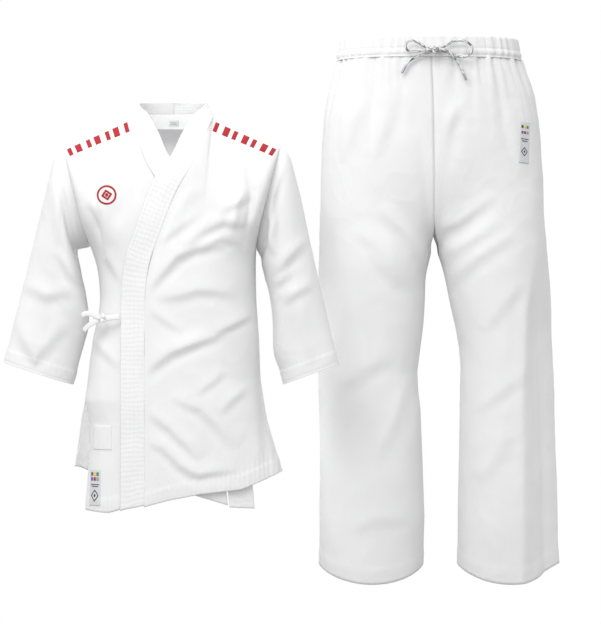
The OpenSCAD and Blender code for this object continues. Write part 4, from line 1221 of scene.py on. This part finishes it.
def woven_label(prefix, tree, middle, wide, tall, tilt, toward, y):
    """A label with a bound edge, small coloured squares, bars and a lozenge."""
    cx, cz = middle

    def place(points):
        return turned(points, middle, tilt)

    parts = []
    base = square_grid(cx - wide / 2, cx + wide / 2, cz - tall / 2, cz + tall / 2, 40, 24, y)
    parts.append(patch(prefix + "_base", tree, place(base), toward, 0.7, label_cloth, 1.5, 0.1))
    tree2 = skin(parts[0])
    size = wide * 0.21
    colours = [ink, PRINT["yellow"], PRINT["green"], PRINT["blue"], red_thread, PRINT["grey"]]
    for k, material in enumerate(colours):
        x = cx + (k % 3 - 1) * wide * 0.27
        z = cz + tall * (0.37 - 0.135 * (k // 3))
        cell = square_grid(x - size / 2, x + size / 2, z - size / 2, z + size / 2, 7, 7, y)
        parts.append(patch(prefix + "_cell_" + "abcdef"[k], tree2, place(cell), toward, 0.35, material, 1.2))
    for k, (drop, width) in enumerate(((0.08, 0.8), (0.03, 0.6))):
        z = cz + tall * drop
        bar = square_grid(cx - wide * width / 2, cx + wide * width / 2, z - 0.9, z + 0.9, 5, 20, y)
        parts.append(patch(prefix + "_line_" + "ab"[k], tree2, place(bar), toward, 0.35, ink, 1.2))
    frame_ring = disc_grid(cx, cz - tall * 0.22, wide * 0.26, wide * 0.36, 5, 64, y, 0.9)
    parts.append(patch(prefix + "_lozenge", tree2, place(frame_ring), toward, 0.35, ink, 1.2, 0, True))
    dot = disc_grid(cx, cz - tall * 0.22, 0.1, wide * 0.09, 4, 32, y)
    parts.append(patch(prefix + "_dot", tree2, place(dot), toward, 0.35, ink, 1.2, 0, True))
    return parts


hem_tag = woven_label("hem_tag", under_skin, (-140, -703), 32, 68, 1.5, (0.35, 1, 0), -60)
hip_tag = woven_label("hip_tag", left_half_skin, (683, -45), 25, 82, -4, (-0.35, 1, 0), TY - 90)

vent_grid = square_grid(-150, -104, -632, -586, 24, 24, -70, 0)
vent_right = patch("right_vent_square", under_skin, vent_grid, (0.3, 1, 0), 0.6, band_canvas, 3.0, 0.1)
back_skin = skin(back_cloth)
vent_grid = square_grid(128, 168, -546, -506, 20, 20, 60)
vent_left = patch("left_vent_square", back_skin, vent_grid, (-0.6, -1, 0), 1.0, band_canvas, 2.0, 0.2)
tie_grid = square_grid(-158, -142, -404, -378, 16, 12, -36)
tie_patch = patch("side_tie_square", under_skin, tie_grid, (1, 0.5, 0), 1.0, band_canvas, 2.0, 0.2)

# neck facing inside the back of the collar, with its label
a, t = np.meshgrid(np.linspace(-58, 58, 70), np.linspace(0, 1, 16), indexing="ij")
a = np.radians(a)
z = mix(4, -24, t.T)
inside = np.stack([(NECK_X - 7) * np.sin(a.T), (NECK_Y - 7.5) * np.cos(a.T), z], -1)
facing = Cloth(inside, -inside * np.array([1, 1, 0]))
facing.push(0.5 * np.sin(math.pi * t.T) + 0.3 * noise(a.T * 9, z / 12, 5))
neck_facing = facing.build("neck_facing", 1.6, band_canvas)
neck_skin = skin(neck_facing)
tag = square_grid(-9, 9, -17, -6, 14, 20, 40)
neck_tag = [patch("neck_tag", neck_skin, tag, (0, 1, 0), 0.6, label_cloth, 1.5, 0.1)]
tag_skin = skin(neck_tag[0])
for k in range(2):
    bar = square_grid(-6, 6, -11.2 - 3 * k, -10.2 - 3 * k, 4, 16, 40)
    neck_tag.append(patch("neck_tag_line_" + "ab"[k], tag_skin, bar, (0, 1, 0), 0.3, PRINT["grey"], 1.2))

# ------------------------------------------------------------------ rows of stitching
back_sheet, outer_sheet, under_sheet = made["back"], made["outer"], made["under"]


def hem_lines(cloth, values=(26.0, 3.5)):
    return [contour(cloth, cloth.below, v) for v in values]


back_stitch = stitches("back_hem_thread", hem_lines(back_sheet), thread)
outer_stitch = stitches("outer_hem_thread", hem_lines(outer_sheet), thread)
under_stitch = stitches("under_hem_thread", hem_lines(under_sheet), thread)
band_rows = [1.2, 5, 10, 15, 20, 25, 28.8]
band_out = made["outer_lapel_and_collar"]
band_in = made["under_lapel_and_collar"]
outer_band_stitch = stitches("outer_band_thread", [band_out.column(c) for c in band_rows], thread)
under_band_stitch = stitches("under_band_thread", [band_in.column(c) for c in band_rows], thread)


def cuff_lines(cloth):
    along = cloth.p.mean(1)
    run = np.concatenate([[0], np.cumsum(np.linalg.norm(np.diff(along, axis=0), axis=1))])
    left = (run[-1] - run)[:, None]
    return [contour(cloth, left, v) for v in (26.0, 3.5)]


left_cuff_stitch = stitches("left_cuff_thread", cuff_lines(made["left_sleeve_cloth"]), thread)
right_cuff_stitch = stitches("right_cuff_thread", cuff_lines(made["right_sleeve_cloth"]), thread)


def leg_lines(cloth):
    rows = cloth.p.shape[0]
    level = np.linspace(0, rows - 1, rows)[:, None]
    step = (868 - 266) / 111
    return [contour(cloth, -level, -(rows - 1 - v / step)) for v in (28.5, 3.5)]


left_leg_stitch = stitches("left_leg_thread", leg_lines(made["left_trouser_half"]), thread)
right_leg_stitch = stitches("right_leg_thread", leg_lines(made["right_trouser_half"]), thread)
waist = made["waistband"]
waist_stitch = stitches("waistband_thread", [waist.row(3.0), waist.row(11.0), waist.row(18.0)], thread)

# ------------------------------------------------------------------ where each piece sits: some are baked in place, the rest ride on bodies


def with_left_front(*pieces):
    for piece in pieces:
        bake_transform(piece)


def with_sleeve(side, *pieces):
    for piece in pieces:
        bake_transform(piece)


def with_leg(side, *pieces):
    for piece in pieces:
        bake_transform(piece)


def ride(body, *pieces):
    for piece in pieces:
        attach(piece, body)


with_left_front(outer_front, outer_band, outer_stitch, outer_band_stitch)
with_sleeve(1, left_sleeve, left_cuff_stitch)
with_sleeve(-1, right_sleeve, right_cuff_stitch)
with_leg(1, left_half, left_leg_stitch)
with_leg(-1, right_half, right_leg_stitch)
ride("left_front", outer_strap)
ride(
    "jacket", back_cloth, under_front, under_band, back_stitch, under_stitch, under_band_stitch,
    side_strap, tail_high, tail_low, side_knot, inner_a, inner_b, vent_right, vent_left, tie_patch,
    neck_facing, *neck_tag, *marks, *left_bars, *right_bars, *hem_tag
)
ride(
    "trousers", waistband, waist_stitch, left_string, right_string, left_tip, right_tip,
    string_knot, *rings, *hip_tag
)

stands_for = [
    (back_cloth, "back_panel", "back_hem"),
    (outer_front, "left_chest_panel", "left_front_flap", "left_flap_hem", "left_side_hem"),
    (under_front, "right_front_panel", "right_front_hem"),
    (outer_band, "left_lapel_band", "collar_band"),
    (under_band, "right_lapel_band"),
    (left_sleeve, "left_sleeve", "left_cuff_hem"),
    (right_sleeve, "right_sleeve", "right_cuff_hem"),
    (left_half, "left_leg", "left_leg_hem", "hip_front", "hip_back", "crotch_gusset"),
    (right_half, "right_leg", "right_leg_hem"),
    (waistband, "waist_casing", "waist_facing"),
    (left_string, "drawstring_left"),
    (right_string, "drawstring_right"),
    (string_knot, "drawstring_knot"),
    (left_tip, "left_aglet"),
    (right_tip, "right_aglet"),
    (rings[0], "left_eyelet"),
    (rings[1], "right_eyelet"),
    (side_strap, "side_tie"),
    (side_knot, "tie_knot"),
    (outer_strap, "outer_tie"),
    (inner_a, "inner_front_tie"),
    (inner_b, "inner_side_tie"),
    (tie_patch, "side_tie_patch"),
    (vent_left, "left_vent_patch"),
    (vent_right, "right_vent_patch"),
    (marks[0], "chest_emblem"),
    (left_bars[0], "left_shoulder_marks"),
    (right_bars[0], "right_shoulder_marks"),
    (hem_tag[0], "hem_label"),
    (hip_tag[0], "hip_label"),
    (neck_facing, "neck_tape"),
    (neck_tag[0], "neck_label"),
]
for piece, *nodes in stands_for:
    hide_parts(*nodes)

for name, material in (
    ("waist_elastic", elastic_cloth), ("drawstring_run", string_cloth),
):
    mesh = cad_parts[name].data
    mesh.materials.clear()
    mesh.materials.append(material)
    mesh.uv_layers.new(name="cloth")


bpy.context.view_layer.update()


# ------------------------------------------------------------------ floor and light
# The floor stops behind the garments, just before the camera would see it
FLOOR_LOW, FLOOR_HIGH, FLOOR_Z = (-1.2, -1.2), (1.7, 0.45), -1.03
floor_mesh = bpy.data.meshes.new("floor")
corners = [
    (FLOOR_LOW[0], FLOOR_LOW[1], FLOOR_Z), (FLOOR_HIGH[0], FLOOR_LOW[1], FLOOR_Z),
    (FLOOR_HIGH[0], FLOOR_HIGH[1], FLOOR_Z), (FLOOR_LOW[0], FLOOR_HIGH[1], FLOOR_Z),
]
floor_mesh.from_pydata(corners, [], [(0, 1, 2, 3)])
floor = bpy.data.objects.new("floor", floor_mesh)
bpy.context.scene.collection.objects.link(floor)
floor_mesh.materials.append(plain_material("pale floor", (0.4, 0.4, 0.4), 0.9))

world = bpy.data.worlds.new("studio")
world.use_nodes = True
sky_nodes, sky_links = world.node_tree.nodes, world.node_tree.links
direction = sky_nodes.new("ShaderNodeTexCoord")
height = sky_nodes.new("ShaderNodeSeparateXYZ")
shade = sky_nodes.new("ShaderNodeMapRange")
# White all round, and darker below, so that the lower parts of the garments shade off
shade.interpolation_type = "SMOOTHSTEP"
shade.inputs["From Min"].default_value = -0.5
shade.inputs["From Max"].default_value = -0.12
shade.inputs["To Min"].default_value = 0.12
shade.inputs["To Max"].default_value = 1.0
sky_links.new(direction.outputs["Generated"], height.inputs[0])
sky_links.new(height.outputs["Z"], shade.inputs["Value"])
sky_links.new(shade.outputs[0], sky_nodes["Background"].inputs["Color"])
sky_nodes["Background"].inputs["Strength"].default_value = 1.0
bpy.context.scene.world = world
bpy.context.scene.view_settings.view_transform = "Standard"


def area_light(name, place, aim, power, size):
    data = bpy.data.lights.new(name, "AREA")
    data.energy = power
    data.shape = "DISK"
    data.size = size
    light = bpy.data.objects.new(name, data)
    bpy.context.scene.collection.objects.link(light)
    light.location = place
    light.rotation_euler = (Vector(aim) - Vector(place)).to_track_quat("-Z", "Y").to_euler()


def fill_light(name, place, power):
    """A weak lamp that the camera does not see."""
    data = bpy.data.lights.new(name, "POINT")
    data.energy = power
    data.shadow_soft_size = 0.04
    light = bpy.data.objects.new(name, data)
    bpy.context.scene.collection.objects.link(light)
    light.location = place
    light.visible_camera = False


area_light("key", (-0.5, -1.6, 1.5), (0.1, 0, -0.25), 37, 1.6)
# Inside the jacket: the daylight that thin white cloth lets through
fill_light("neck_fill", (0, 0, -0.22), 0.35)
fill_light("waist_fill", (-0.03, 0, -0.62), 0.32)
# Behind the jacket: they lighten the shadow that it would cast on the trousers
fill_light("gap_fill", (0.155, 0.105, -0.42), 0.24)
fill_light("low_gap_fill", (0.165, 0.095, -0.63), 0.22)
